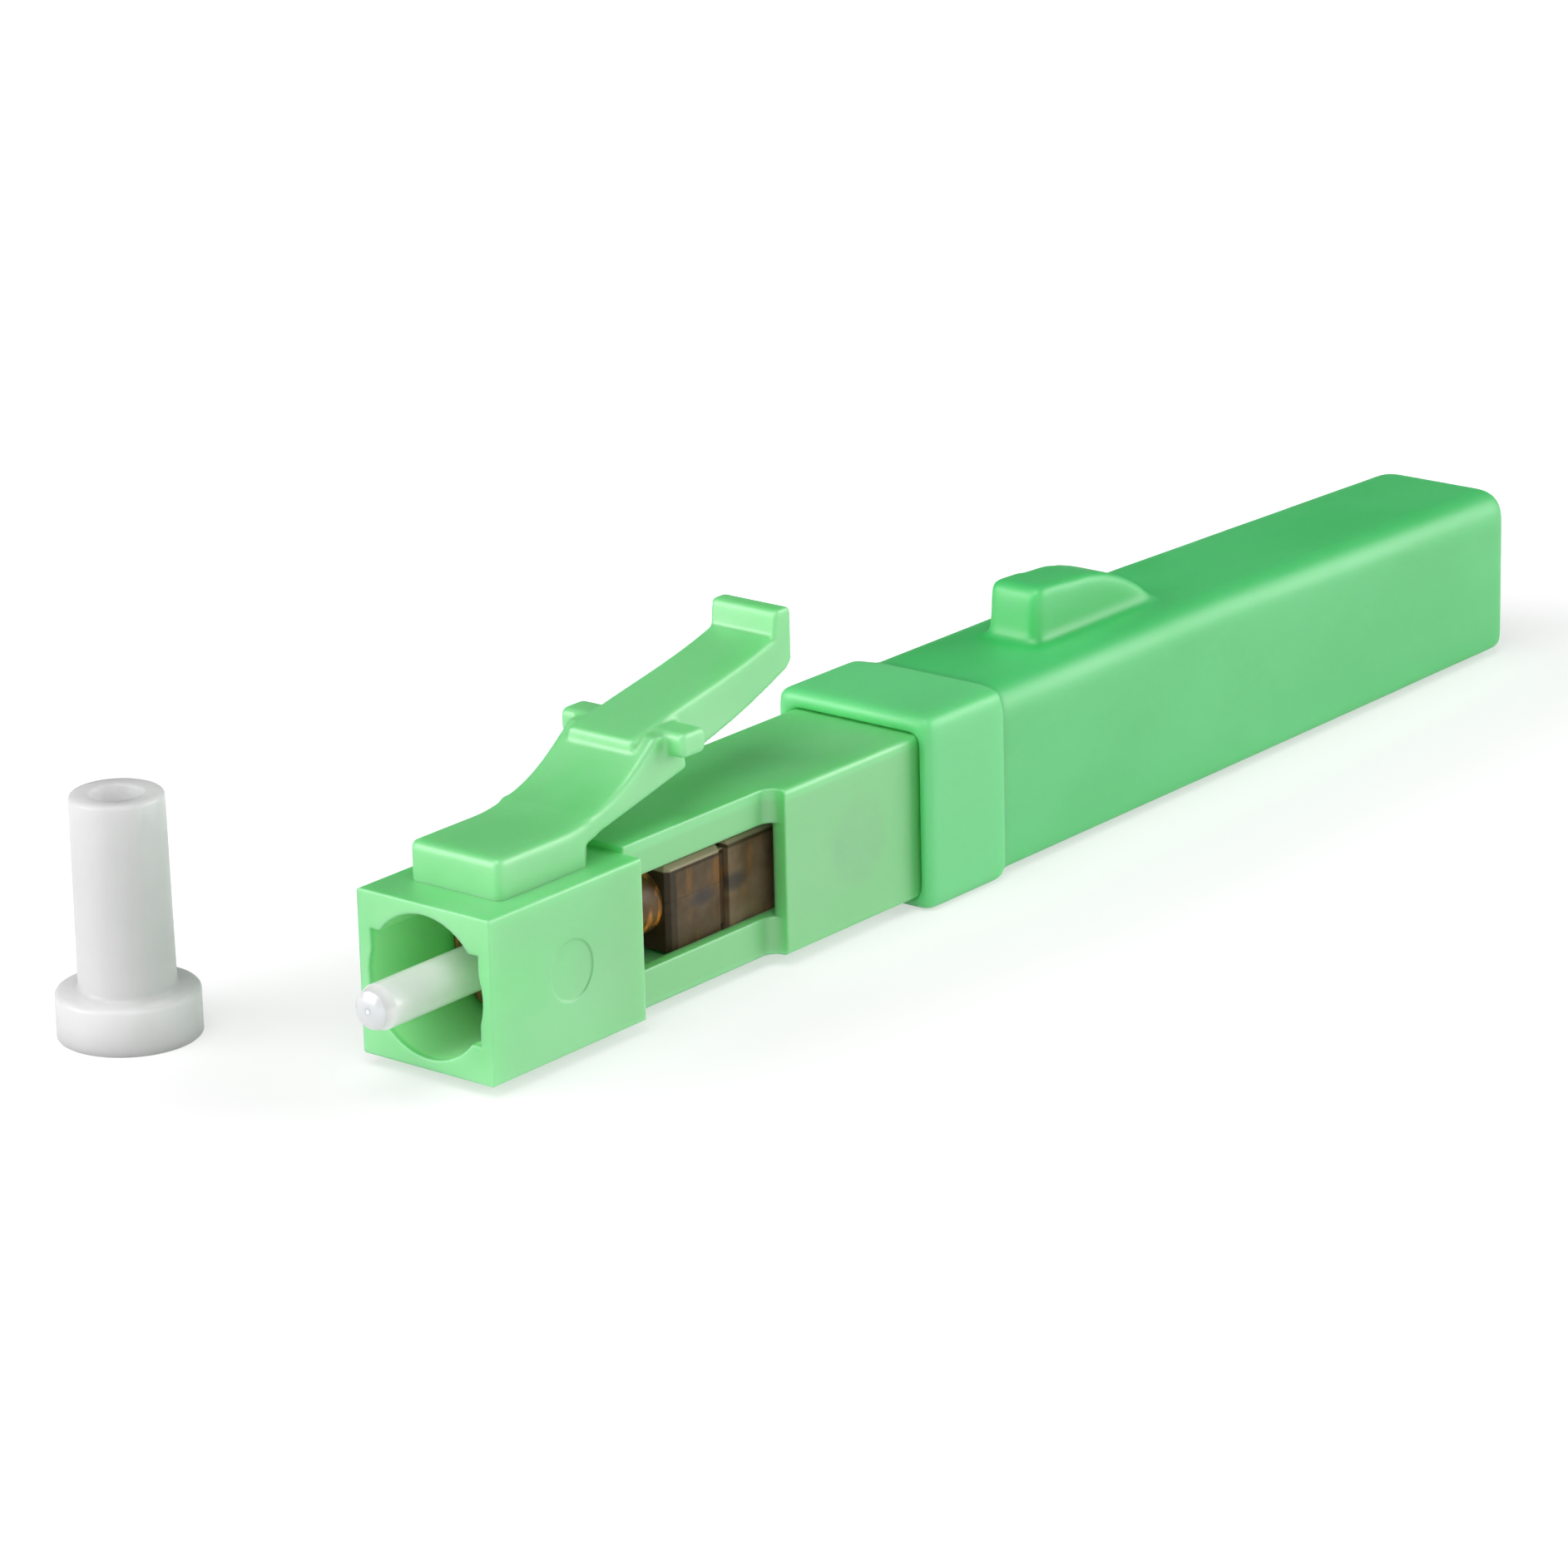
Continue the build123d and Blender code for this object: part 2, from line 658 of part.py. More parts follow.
# Tail sleeve: collar over the housing's back, tapering tube, thumb tab and cable entry
collar_rear_x = collar_front_x + collar_length
collar_top = body_top + sleeve_fit + collar_top_wall
taper_share = (tail_taper_x - collar_rear_x) / (tail_rear_x - collar_rear_x)
tail_taper_width = tail_front_width + taper_share * (tail_rear_width - tail_front_width)
tail_sections = (
    (collar_rear_x, tail_front_width, tail_front_top_z),
    (tail_taper_x, tail_taper_width, tail_front_top_z),
    (tail_rear_x, tail_rear_width, tail_rear_top_z),
)
sleeve_cavity_half = trough_half + tail_cavity_gap
sleeve_shoulder_x = flange_end_x + sleeve_stop_gap
long_edge = 2 * tail_front_width
with BuildPart() as tail_sleeve:
    for section_x, section_width, section_top in tail_sections:
        with BuildSketch(Plane.YZ.offset(section_x)):
            with Locations((0, (section_top + tail_floor_z) / 2)):
                Rectangle(section_width, section_top - tail_floor_z)
    loft(ruled=True)
    top_edges = tail_sleeve.edges().filter_by(lambda edge: edge.length > long_edge).filter_by_position(
        Axis.Z, tail_rear_top_z / 2, tail_front_top_z
    )
    fillet(top_edges, tail_top_radius)
    rear_round = tail_sleeve.edges().group_by(Axis.X)[-1].sort_by(Axis.Z)[1:]
    fillet(rear_round, tail_rear_radius)
    floor_edges = tail_sleeve.edges().filter_by(lambda edge: edge.length > long_edge).group_by(Axis.Z)[0]
    fillet(floor_edges, tail_floor_radius)

    with BuildPart(mode=Mode.PRIVATE) as collar_block:
        box_between(
            (collar_front_x, collar_rear_x), (-collar_width / 2, collar_width / 2), (floor_z, collar_top)
        )
        fillet(collar_block.edges().filter_by(Axis.X), collar_edge_radius)
        chamfer(collar_block.edges().group_by(Axis.X)[0], collar_front_rim)
        chamfer(collar_block.edges().group_by(Axis.X)[-1], collar_rear_rim)
    add(collar_block.part)

    # Thumb tab: steep face in front, top that falls away into a rounded ramp
    tab_top_z = tail_front_top_z + tab_height
    tab_end_x = tab_front_x + tab_length
    with BuildPart(mode=Mode.PRIVATE) as thumb_tab:
        with BuildSketch(Plane.XZ):
            with BuildLine():
                tab_face = Line(
                    (tab_front_x, tail_front_top_z - tab_root), (tab_front_x + tab_front_lean, tab_top_z)
                )
                tab_top = Line(tab_face @ 1, (tab_front_x + tab_top_length, tab_top_z - tab_top_fall))
                tab_ramp = TangentArc(tab_top @ 1, (tab_end_x, tail_front_top_z), tangent=tab_top % 1)
                tab_back = Line(tab_ramp @ 1, (tab_end_x, tail_front_top_z - tab_root))
                Line(tab_back @ 1, tab_face @ 0)
            make_face()
        extrude(amount=tab_width / 2, both=True)
        tab_front = thumb_tab.faces().sort_by(Axis.X)[0]
        fillet(tab_front.edges().sort_by(Axis.Z)[1:], tab_edge_radius)
    add(thumb_tab.part)

    # Inside: collar socket, long cavity and the cable entry through the back wall
    box_between(
        (collar_front_x, sleeve_shoulder_x),
        (-wide_half - sleeve_fit, wide_half + sleeve_fit),
        (-nose_half - sleeve_fit, body_top + sleeve_fit),
        Mode.SUBTRACT,
    )
    box_between(
        (sleeve_shoulder_x, tail_rear_x - tail_rear_wall),
        (-sleeve_cavity_half, sleeve_cavity_half),
        (trough_floor_z - tail_cavity_gap, trough_top_z + tail_cavity_gap),
        Mode.SUBTRACT,
    )
    with BuildSketch(Plane.YZ.offset(tail_rear_x - tail_rear_wall)):
        Rectangle(cable_width + 2 * cable_clearance, cable_height + 2 * cable_clearance)
    extrude(amount=tail_rear_wall, mode=Mode.SUBTRACT)
    entry_rim = tail_sleeve.faces().sort_by(Axis.X)[-1].inner_wires()[0].edges()
    chamfer(entry_rim, entry_chamfer)

tail_sleeve.part.label = "tail_sleeve"
export_step(tail_sleeve.part, "parts/tail_sleeve.step")


# Dust cap: drafted tube on a round flange, open at the top
with BuildPart() as dust_cap:
    with BuildSketch(Plane(origin=(cap_x, cap_y, floor_z))):
        Circle(cap_flange_diameter / 2)
    extrude(amount=cap_flange_height)
    chamfer(dust_cap.edges().group_by(Axis.Z)[-1], cap_edge_chamfer)
    tube_height = cap_height - cap_flange_height
    with Locations((cap_x, cap_y, floor_z + cap_flange_height + tube_height / 2)):
        Cone(cap_tube_diameter / 2, cap_tube_diameter / 2 - cap_draft, tube_height)
    chamfer(dust_cap.edges().group_by(Axis.Z)[-1], cap_edge_chamfer)
    with BuildSketch(Plane(origin=(cap_x, cap_y, floor_z + cap_height))):
        Circle(cap_bore_diameter / 2)
    extrude(amount=-cap_bore_depth, mode=Mode.SUBTRACT)

dust_cap.part.label = "dust_cap"
export_step(dust_cap.part, "parts/dust_cap.step")
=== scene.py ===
"""Finishes and light for a field-installable fibre connector with its ferrule cap standing beside it.

The connector lies along X with its plug nose towards -X and its latch on top. All sizes here are in
metres, unless a docstring says millimetres; the constant MM turns one into the other.
"""

from __future__ import annotations

import logging
import math
from dataclasses import dataclass, field
from enum import Enum
from typing import Any, Mapping, Optional, Sequence, Union

import bmesh
import bpy
from mathutils import Matrix, Vector


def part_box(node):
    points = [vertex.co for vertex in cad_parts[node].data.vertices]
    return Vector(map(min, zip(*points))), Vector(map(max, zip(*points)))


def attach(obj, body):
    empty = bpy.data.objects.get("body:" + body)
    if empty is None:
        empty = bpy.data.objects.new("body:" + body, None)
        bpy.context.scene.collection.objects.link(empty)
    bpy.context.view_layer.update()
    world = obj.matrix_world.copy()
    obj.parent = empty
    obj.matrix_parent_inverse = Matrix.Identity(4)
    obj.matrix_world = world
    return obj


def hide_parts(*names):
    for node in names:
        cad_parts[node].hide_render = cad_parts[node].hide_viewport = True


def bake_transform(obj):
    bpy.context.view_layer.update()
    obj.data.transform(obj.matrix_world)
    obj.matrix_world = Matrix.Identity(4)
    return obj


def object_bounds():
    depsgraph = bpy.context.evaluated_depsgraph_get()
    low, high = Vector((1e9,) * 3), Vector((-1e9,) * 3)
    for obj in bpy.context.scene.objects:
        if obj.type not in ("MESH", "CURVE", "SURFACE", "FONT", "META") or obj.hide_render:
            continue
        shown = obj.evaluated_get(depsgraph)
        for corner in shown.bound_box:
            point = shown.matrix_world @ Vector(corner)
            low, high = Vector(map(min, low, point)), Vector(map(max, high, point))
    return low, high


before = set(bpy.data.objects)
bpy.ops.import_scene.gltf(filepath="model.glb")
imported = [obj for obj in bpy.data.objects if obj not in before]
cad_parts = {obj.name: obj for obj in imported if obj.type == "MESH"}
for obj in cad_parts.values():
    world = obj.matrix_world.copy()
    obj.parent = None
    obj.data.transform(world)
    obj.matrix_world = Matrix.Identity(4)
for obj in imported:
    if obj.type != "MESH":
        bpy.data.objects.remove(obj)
CAD_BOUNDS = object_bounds()

logging.basicConfig(level=logging.INFO, format="%(name)s: %(message)s")
LOG = logging.getLogger("connector")

MM = 0.001
MERGE = 0.0005 * MM
Colour = tuple[float, float, float, float]
Point = tuple[float, float]
Operand = Union["Socket", float]


class Body(str, Enum):
    """Names of the rigid bodies that the pieces ride on."""

    HOUSING = "housing"
    LATCH = "latch"
    FERRULE = "ferrule_group"
    TAIL = "tail"


class Node(str, Enum):
    """Names of the solids that the scene dresses or stands in for."""

    HOUSING = "front_housing"
    LATCH = "latch_arm"
    FERRULE = "ferrule"
    STUB = "fibre_stub"
    FLANGE = "ferrule_flange"
    BASE = "splice_base"
    LID = "splice_lid"
    CLAMP = "clamp_sleeve"
    SPRING = "ferrule_spring"
    FRAME = "cable_frame"
    GUIDE = "fibre_guide"
    JAW_LOWER = "jaw_lower"
    JAW_UPPER = "jaw_upper"
    SLEEVE = "tail_sleeve"
    CAP = "dust_cap"


class MathOp(str, Enum):
    """The Math node operations that the shader expressions use."""

    ADD = "ADD"
    SUBTRACT = "SUBTRACT"
    MULTIPLY = "MULTIPLY"
    DIVIDE = "DIVIDE"
    POWER = "POWER"
    ABSOLUTE = "ABSOLUTE"
    MAXIMUM = "MAXIMUM"
    SQUARE_ROOT = "SQRT"


class Socket:
    """A shader output that Python operators combine into Math nodes."""

    def __init__(self, graph: Graph, link: bpy.types.NodeSocket) -> None:
        """Keeps the output and the graph that it belongs to."""
        self.graph = graph
        self.link = link

    def _math(self, operation: MathOp, first: Operand, second: Operand = 0.0) -> Socket:
        """Adds one Math node.

        Args:
            operation: What the node works out.
            first: The first operand.
            second: The second operand, if the operation takes one.

        Returns:
            The node's result.
        """
        return self.graph.node("ShaderNodeMath", {"operation": operation.value}, {0: first, 1: second})

    def __add__(self, other: Operand) -> Socket:
        """Sum."""
        return self._math(MathOp.ADD, self, other)

    __radd__ = __add__

    def __sub__(self, other: Operand) -> Socket:
        """Difference."""
        return self._math(MathOp.SUBTRACT, self, other)

    def __rsub__(self, other: Operand) -> Socket:
        """Difference with the socket taken away from a number."""
        return self._math(MathOp.SUBTRACT, other, self)

    def __mul__(self, other: Operand) -> Socket:
        """Product."""
        return self._math(MathOp.MULTIPLY, self, other)

    __rmul__ = __mul__

    def __truediv__(self, other: Operand) -> Socket:
        """Quotient."""
        return self._math(MathOp.DIVIDE, self, other)

    def __rtruediv__(self, other: Operand) -> Socket:
        """Quotient with the socket below."""
        return self._math(MathOp.DIVIDE, other, self)

    def __pow__(self, other: Operand) -> Socket:
        """Power."""
        return self._math(MathOp.POWER, self, other)

    def __abs__(self) -> Socket:
        """Size without its sign."""
        return self._math(MathOp.ABSOLUTE, self)

    def __or__(self, other: Operand) -> Socket:
        """The larger of two masks."""
        return self._math(MathOp.MAXIMUM, self, other)

    __ror__ = __or__

    def root(self) -> Socket:
        """Square root."""
        return self._math(MathOp.SQUARE_ROOT, self)

    def fade(self, start: float, end: float) -> Socket:
        """Smooth step from 0 at start to 1 at end; start may be the larger.

        Args:
            start: The value where the step is still 0.
            end: The value where the step has reached 1.

        Returns:
            The mask.
        """
        low, high, outputs = (start, end, (0.0, 1.0)) if start < end else (end, start, (1.0, 0.0))
        return self.graph.node(
            "ShaderNodeMapRange",
            {"interpolation_type": "SMOOTHSTEP"},
            {"Value": self, "From Min": low, "From Max": high, "To Min": outputs[0], "To Max": outputs[1]},
        )


class Graph:
    """A material's node tree, with one method that adds any node."""

    def __init__(self, material: bpy.types.Material) -> None:
        """Empties the material's tree and adds its output node."""
        material.use_nodes = True
        self.tree = material.node_tree
        self.tree.nodes.clear()
        self.output = self.tree.nodes.new("ShaderNodeOutputMaterial")

    def node(
        self,
        kind: str,
        settings: Optional[Mapping[str, Any]] = None,
        inputs: Optional[Mapping[Union[str, int], Any]] = None,
        output: Union[str, int] = 0,
    ) -> Socket:
        """Adds a node.

        Args:
            kind: Blender's type name for the node.
            settings: The node's own settings, set first.
            inputs: Values or sockets for the node's inputs, by name or number.
            output: The output to hand back, by name or number.

        Returns:
            The chosen output.
        """
        made = self.tree.nodes.new(kind)
        for name, value in (settings or {}).items():
            setattr(made, name, value)
        for key, value in (inputs or {}).items():
            if isinstance(value, Socket):
                self.tree.links.new(value.link, made.inputs[key])
            else:
                made.inputs[key].default_value = value
        return Socket(self, made.outputs[output])

    def place(self) -> Socket:
        """Position on the piece, in metres, in the frame that the piece was modelled in."""
        return self.node("ShaderNodeTexCoord", output="Object")

    def axes(self) -> tuple[Socket, Socket, Socket]:
        """The three coordinates of the position, in millimetres."""
        scaled = self.node("ShaderNodeVectorMath", {"operation": "SCALE"}, {0: self.place(), "Scale": 1 / MM})
        split = self.tree.nodes.new("ShaderNodeSeparateXYZ")
        self.tree.links.new(scaled.link, split.inputs[0])
        return tuple(Socket(self, output) for output in split.outputs)

    def noise(self, size: float, detail: float = 2.0, stretch: Sequence[float] = (1.0, 1.0, 1.0)) -> Socket:
        """Noise from 0 to 1.

        Args:
            size: Width of one blotch in metres.
            detail: How many finer layers the noise has.
            stretch: How much the blotches are squeezed along each axis.

        Returns:
            The noise value.
        """
        placed = self.node("ShaderNodeMapping", inputs={"Vector": self.place(), "Scale": tuple(stretch)})
        return self.node("ShaderNodeTexNoise", inputs={"Vector": placed, "Scale": 1 / size, "Detail": detail})

    def mix(self, mask: Operand, first: Union[Socket, Colour], second: Union[Socket, Colour]) -> Socket:
        """Mixes two colours.

        Args:
            mask: 0 gives the first colour, 1 the second.
            first: The colour where the mask is 0.
            second: The colour where the mask is 1.

        Returns:
            The mixed colour.
        """
        return self.node("ShaderNodeMix", {"data_type": "RGBA"}, {0: mask, 6: first, 7: second}, output=2)

    def bump(self, height: Socket, depth: float, normal: Optional[Socket] = None) -> Socket:
        """Turns a height into a normal.

        Args:
            height: Height from 0 to 1.
            depth: How deep a height of 1 is, in metres.
            normal: The normal that the bump stands on, if not the surface's own.

        Returns:
            The new normal.
        """
        inputs: dict[Union[str, int], Any] = {"Height": height, "Distance": depth}
        if normal is not None:
            inputs["Normal"] = normal
        return self.node("ShaderNodeBump", inputs=inputs)

    def soft_edges(self, radius: float) -> Socket:
        """Normal with the edges rounded over by a radius in metres."""
        return self.node("ShaderNodeBevel", {"samples": 8}, {"Radius": radius})

    def surface(self, shader: Socket) -> None:
        """Connects a shader to the material's output."""
        self.tree.links.new(shader.link, self.output.inputs["Surface"])


@dataclass(frozen=True)
class MouldedGreen:
    """Translucent green moulding resin with a fine matt skin."""

    name: str
    pale: Colour = (0.19, 0.71, 0.25, 1.0)
    deep: Colour = (0.13, 0.67, 0.19, 1.0)
    scatter: float = 0.75
    scatter_depth: float = 0.9 * MM
    roughness: float = 0.5
    gloss_index: float = 2.5
    edge_radius: float = 0.11 * MM

    def tint(self, graph: Graph) -> Socket:
        """Colour over the surface: the resin's own slow drift between its two tones."""
        drift = graph.noise(3.2 * MM, 3.0, (0.5, 1.0, 1.0)).fade(0.35, 0.68)
        return graph.mix(drift, self.pale, self.deep)

    def build(self) -> bpy.types.Material:
        """Makes the material.

        Returns:
            The finished material.
        """
        material = bpy.data.materials.new(self.name)
        graph = Graph(material)
        grain = graph.noise(0.05 * MM, 2.0)
        swirl = graph.noise(1.4 * MM, 2.0, (0.3, 1.0, 1.0))
        rounded = graph.soft_edges(self.edge_radius)
        normal = graph.bump(grain * 0.6 + swirl * 0.4, 0.004 * MM, rounded)
        rough = swirl * 0.12 + (self.roughness - 0.06)
        shader = graph.node(
            "ShaderNodeBsdfPrincipled",
            {"subsurface_method": "RANDOM_WALK"},
            {
                "Base Color": self.tint(graph),
                "Roughness": rough,
                "Normal": normal,
                "IOR": self.gloss_index,
                "Subsurface Weight": self.scatter,
                "Subsurface Radius": (0.55, 1.0, 0.6),
                "Subsurface Scale": self.scatter_depth,
            },
        )
        graph.surface(shader)
        return material


@dataclass(frozen=True)
class ShowThroughGreen(MouldedGreen):
    """Housing resin, with the dark blocks inside showing faintly through its thin walls."""

    shadow: Colour = (0.13, 0.40, 0.16, 1.0)
    spot_x: float = 15.2
    spot_z: float = 0.15
    spot_radius: float = 1.15
    spot_edge: Point = (1.25, 0.8)
    spot_strength: float = 0.34
    wide_half: float = 2.2
    # painted light: a brighter green painted inside the nose's bore
    painted_bore_light: Colour = (0.36, 0.92, 0.39, 1.0)
    bore_reach: float = 2.15
    bore_depth: float = 3.0
    bore_mouth: Point = (0.03, 0.25)
    dull: Colour = (0.13, 0.54, 0.14, 1.0)
    dull_span: Point = (3.4, 6.2)
    dull_strength: float = 0.5

    def tint(self, graph: Graph) -> Socket:
        """Colour over the surface, dark where brown blocks lie behind the wall, with painted light brightening
        the bore.
        """
        plain = super().tint(graph)
        along, across, up = graph.axes()
        reach = ((along - self.spot_x) ** 2.0 + (up - self.spot_z) ** 2.0).root()
        spot = reach.fade(*(self.spot_radius * edge for edge in self.spot_edge))
        on_side = abs(across).fade(self.wide_half - 0.25, self.wide_half - 0.05)
        blotch = graph.noise(0.9 * MM, 2.0).fade(0.2, 0.7)
        spotted = graph.mix(spot * on_side * blotch * self.spot_strength, plain, self.shadow)
        below_top = abs(up).fade(self.wide_half + 0.02, self.wide_half - 0.15)
        dulled = graph.mix(along.fade(*self.dull_span) * below_top * self.dull_strength, spotted, self.dull)
        # painted light inside the bore, from its mouth to its depth
        from_axis = (abs(across) | abs(up)).fade(self.bore_reach + 0.03, self.bore_reach)
        behind_mouth = along.fade(*self.bore_mouth) * along.fade(self.bore_depth + 0.5, self.bore_depth)
        return graph.mix(from_axis * behind_mouth, dulled, self.painted_bore_light)


@dataclass(frozen=True)
class TailGreen(MouldedGreen):
    """Tail resin: deeper green on the long tube, painted shade behind the collar and round the tab's foot,
    painted light on the collar.
    """

    # painted light: a paler green given to the collar
    collar: Colour = (0.125, 0.70, 0.23, 1.0)
    # painted shade: a darker green in the crease just behind the collar
    crease: Colour = (0.02, 0.42, 0.09, 1.0)
    collar_end: float = 21.2
    crease_width: float = 0.5
    crease_shade_strength: float = 0.5
    # painted shade: a deep green round the thumb tab's foot
    root: Colour = (0.008, 0.56, 0.10, 1.0)
    root_front: float = 25.0
    root_rear: float = 31.0
    root_half: float = 0.9
    root_height: float = 2.94
    tab_foot_shade_strength: float = 0.8

    def tint(self, graph: Graph) -> Socket:
        """Colour over the surface: painted light on the collar, painted shade in the crease behind it and
        under the tab.
        """
        along, across, up = graph.axes()
        behind_front = along.fade(self.root_front - 0.7, self.root_front)
        before_rear = along.fade(self.root_rear, self.root_rear - 2.0)
        below_top = up.fade(self.root_height + 1.5, self.root_height + 0.2)
        above_side = up.fade(self.root_height - 0.4, self.root_height)
        beside = abs(across).fade(self.root_half + 0.6, self.root_half)
        # painted shade round the thumb tab's foot
        tab_foot_shade = behind_front * before_rear * (below_top * above_side) * beside * self.tab_foot_shade_strength
        tab_foot_shaded = graph.mix(tab_foot_shade, super().tint(graph), self.root)
        # painted shade in the crease behind the collar
        crease_shade_mask = along.fade(self.collar_end + self.crease_width, self.collar_end) * self.crease_shade_strength
        crease_shaded = graph.mix(crease_shade_mask, tab_foot_shaded, self.crease)
        # painted light: the collar's paler green
        return graph.mix(along.fade(self.collar_end + 0.08, self.collar_end - 0.02), crease_shaded, self.collar)


@dataclass(frozen=True)
class PolishedCeramic:
    """White zirconia, ground and polished, with a faint glow under the skin."""

    name: str = "polished_zirconia"
    body: Colour = (0.95, 0.96, 0.95, 1.0)
    shade: Colour = (0.90, 0.92, 0.90, 1.0)
    # painted shade: a greyer colour on the ferrule's lamp-facing front end
    tip_shade: Colour = (0.70, 0.72, 0.73, 1.0)
    tip_shade_span: Point = (-1.8, -2.15)

    def build(self) -> bpy.types.Material:
        """Makes the material.

        Returns:
            The finished material.
        """
        material = bpy.data.materials.new(self.name)
        graph = Graph(material)
        along, _, _ = graph.axes()
        rings = graph.noise(0.16 * MM, 2.0, (6.0, 1.0, 1.0))
        shaft = graph.mix(graph.noise(0.8 * MM).fade(0.3, 0.7), self.body, self.shade)
        # painted shade over the ferrule's front end
        colour = graph.mix(along.fade(*self.tip_shade_span), shaft, self.tip_shade)
        shader = graph.node(
            "ShaderNodeBsdfPrincipled",
            {"subsurface_method": "RANDOM_WALK"},
            {
                "Base Color": colour,
                "Roughness": rings * 0.08 + 0.16,
                "Normal": graph.bump(rings, 0.0006 * MM, graph.soft_edges(0.05 * MM)),
                "IOR": 1.9,
                "Subsurface Weight": 0.6,
                "Subsurface Radius": (1.0, 0.95, 0.85),
                "Subsurface Scale": 0.5 * MM,
            },
        )
        graph.surface(shader)
        return material


@dataclass(frozen=True)
class BrownResin:
    """Brown engineering resin: clouded, slightly see-through, with the marks that its block shows, and with
    painted glints, glow, shade and light.
    """

    name: str
    body: Colour = (0.090, 0.056, 0.028, 1.0)
    cloud: Colour = (0.150, 0.100, 0.058, 1.0)
    # painted glints and glow: the amber of the streak glints and of the warm glow patch
    glow: Colour = (0.36, 0.15, 0.03, 1.0)
    # painted light: the pale tan painted on the block's top, above ledge_z
    ledge: Colour = (0.42, 0.36, 0.23, 1.0)
    smudge: Colour = (0.060, 0.050, 0.052, 1.0)
    # painted shade: the near-black under the ledge and in the band at the block's front
    joint: Colour = (0.012, 0.008, 0.004, 1.0)
    glint_amount: float = 0.45
    glow_patch_strength: float = 0.5
    smudge_strength: float = 0.8
    joint_shade_strength: float = 0.6
    roughness: float = 0.42
    scatter: float = 0.2
    ledge_z: float = 9.0
    shade_band_x: float = 0.0
    smudge_at: Point = (9.8, -0.13)
    smudge_size: Point = (0.55, 0.26)
    # painted light: centre and size of the warm glow patch
    glow_patch_at: Point = (10.42, 0.45)
    glow_patch_size: Point = (0.22, 0.55)

    @staticmethod
    def _patch(along: Socket, up: Socket, centre: Point, size: Point) -> Socket:
        """Soft oval mask on the side faces.

        Args:
            along: The X coordinate in millimetres.
            up: The Z coordinate in millimetres.
            centre: The oval's centre.
            size: Its half length and half height.

        Returns:
            The mask, 1 in the middle.
        """
        reach = (((along - centre[0]) / size[0]) ** 2.0 + ((up - centre[1]) / size[1]) ** 2.0).root()
        return reach.fade(1.25, 0.35)

    def tint(self, graph: Graph) -> Socket:
        """Colour over the surface: clouds, painted glints and a painted glow patch, the dark smudge, painted
        shade under the ledge and in the front band, and painted light on the ledge.
        """
        along, _, up = graph.axes()
        clouds = graph.noise(0.8 * MM, 3.0).fade(0.25, 0.8)
        streaks = graph.noise(0.3 * MM, 2.0, (1.0, 1.0, 0.3)).fade(0.5, 0.8)
        colour = graph.mix(clouds, self.body, self.cloud)
        # painted light: the warm glow patch
        glow_patch = self._patch(along, up, self.glow_patch_at, self.glow_patch_size) * self.glow_patch_strength
        # painted glints in streaks and a painted warm glow patch
        colour = graph.mix((streaks * self.glint_amount) | glow_patch, colour, self.glow)
        smudge = self._patch(along, up, self.smudge_at, self.smudge_size)
        colour = graph.mix(smudge * self.smudge_strength, colour, self.smudge)
        # painted shade under the ledge and in the band at the block's front
        shade_under_ledge = abs(up - (self.ledge_z - 0.05)).fade(0.07, 0.02)
        in_shade_band = along.fade(self.shade_band_x + 0.06, self.shade_band_x - 0.02)
        colour = graph.mix((shade_under_ledge | in_shade_band) * self.joint_shade_strength, colour, self.joint)
        # painted light on the block's top ledge
        return graph.mix(up.fade(self.ledge_z - 0.02, self.ledge_z + 0.03), colour, self.ledge)

    def build(self) -> bpy.types.Material:
        """Makes the material.

        Returns:
            The finished material.
        """
        material = bpy.data.materials.new(self.name)
        graph = Graph(material)
        clouds = graph.noise(0.7 * MM, 4.0).fade(0.3, 0.75)
        grain = graph.noise(0.06 * MM, 3.0)
        shader = graph.node(
            "ShaderNodeBsdfPrincipled",
            {"subsurface_method": "RANDOM_WALK"},
            {
                "Base Color": self.tint(graph),
                "Roughness": clouds * 0.2 + (self.roughness - 0.1),
                "Normal": graph.bump(grain, 0.006 * MM, graph.soft_edges(0.05 * MM)),
                "IOR": 1.3,
                "Subsurface Weight": self.scatter,
                "Subsurface Radius": (1.0, 0.5, 0.25),
                "Subsurface Scale": 0.4 * MM,
            },
        )
        graph.surface(shader)
        return material


@dataclass(frozen=True)
class FrostedResin:
    """Soft, milky, see-through resin of the ferrule cap."""

    name: str = "frosted_cap_resin"
    body: Colour = (0.90, 0.90, 0.90, 1.0)
    milk: Colour = (0.84, 0.84, 0.84, 1.0)

    def build(self) -> bpy.types.Material:
        """Makes the material.

        Returns:
            The finished material.
        """
        material = bpy.data.materials.new(self.name)
        graph = Graph(material)
        streaks = graph.noise(0.5 * MM, 2.0, (1.0, 1.0, 0.12)).fade(0.35, 0.7)
        haze = graph.noise(1.6 * MM, 2.0).fade(0.3, 0.7)
        colour = graph.mix(haze * 0.6 + streaks * 0.3, self.body, self.milk)
        shader = graph.node(
            "ShaderNodeBsdfPrincipled",
            {"subsurface_method": "RANDOM_WALK"},
            {
                "Base Color": colour,
                "Roughness": haze * 0.12 + 0.3,
                "Normal": graph.bump(streaks, 0.01 * MM),
                "IOR": 1.5,
                "Transmission Weight": 0.15,
                "Subsurface Weight": 1.0,
                "Subsurface Radius": (1.0, 1.0, 1.0),
                "Subsurface Scale": 2.4 * MM,
            },
        )
        graph.surface(shader)
        return material


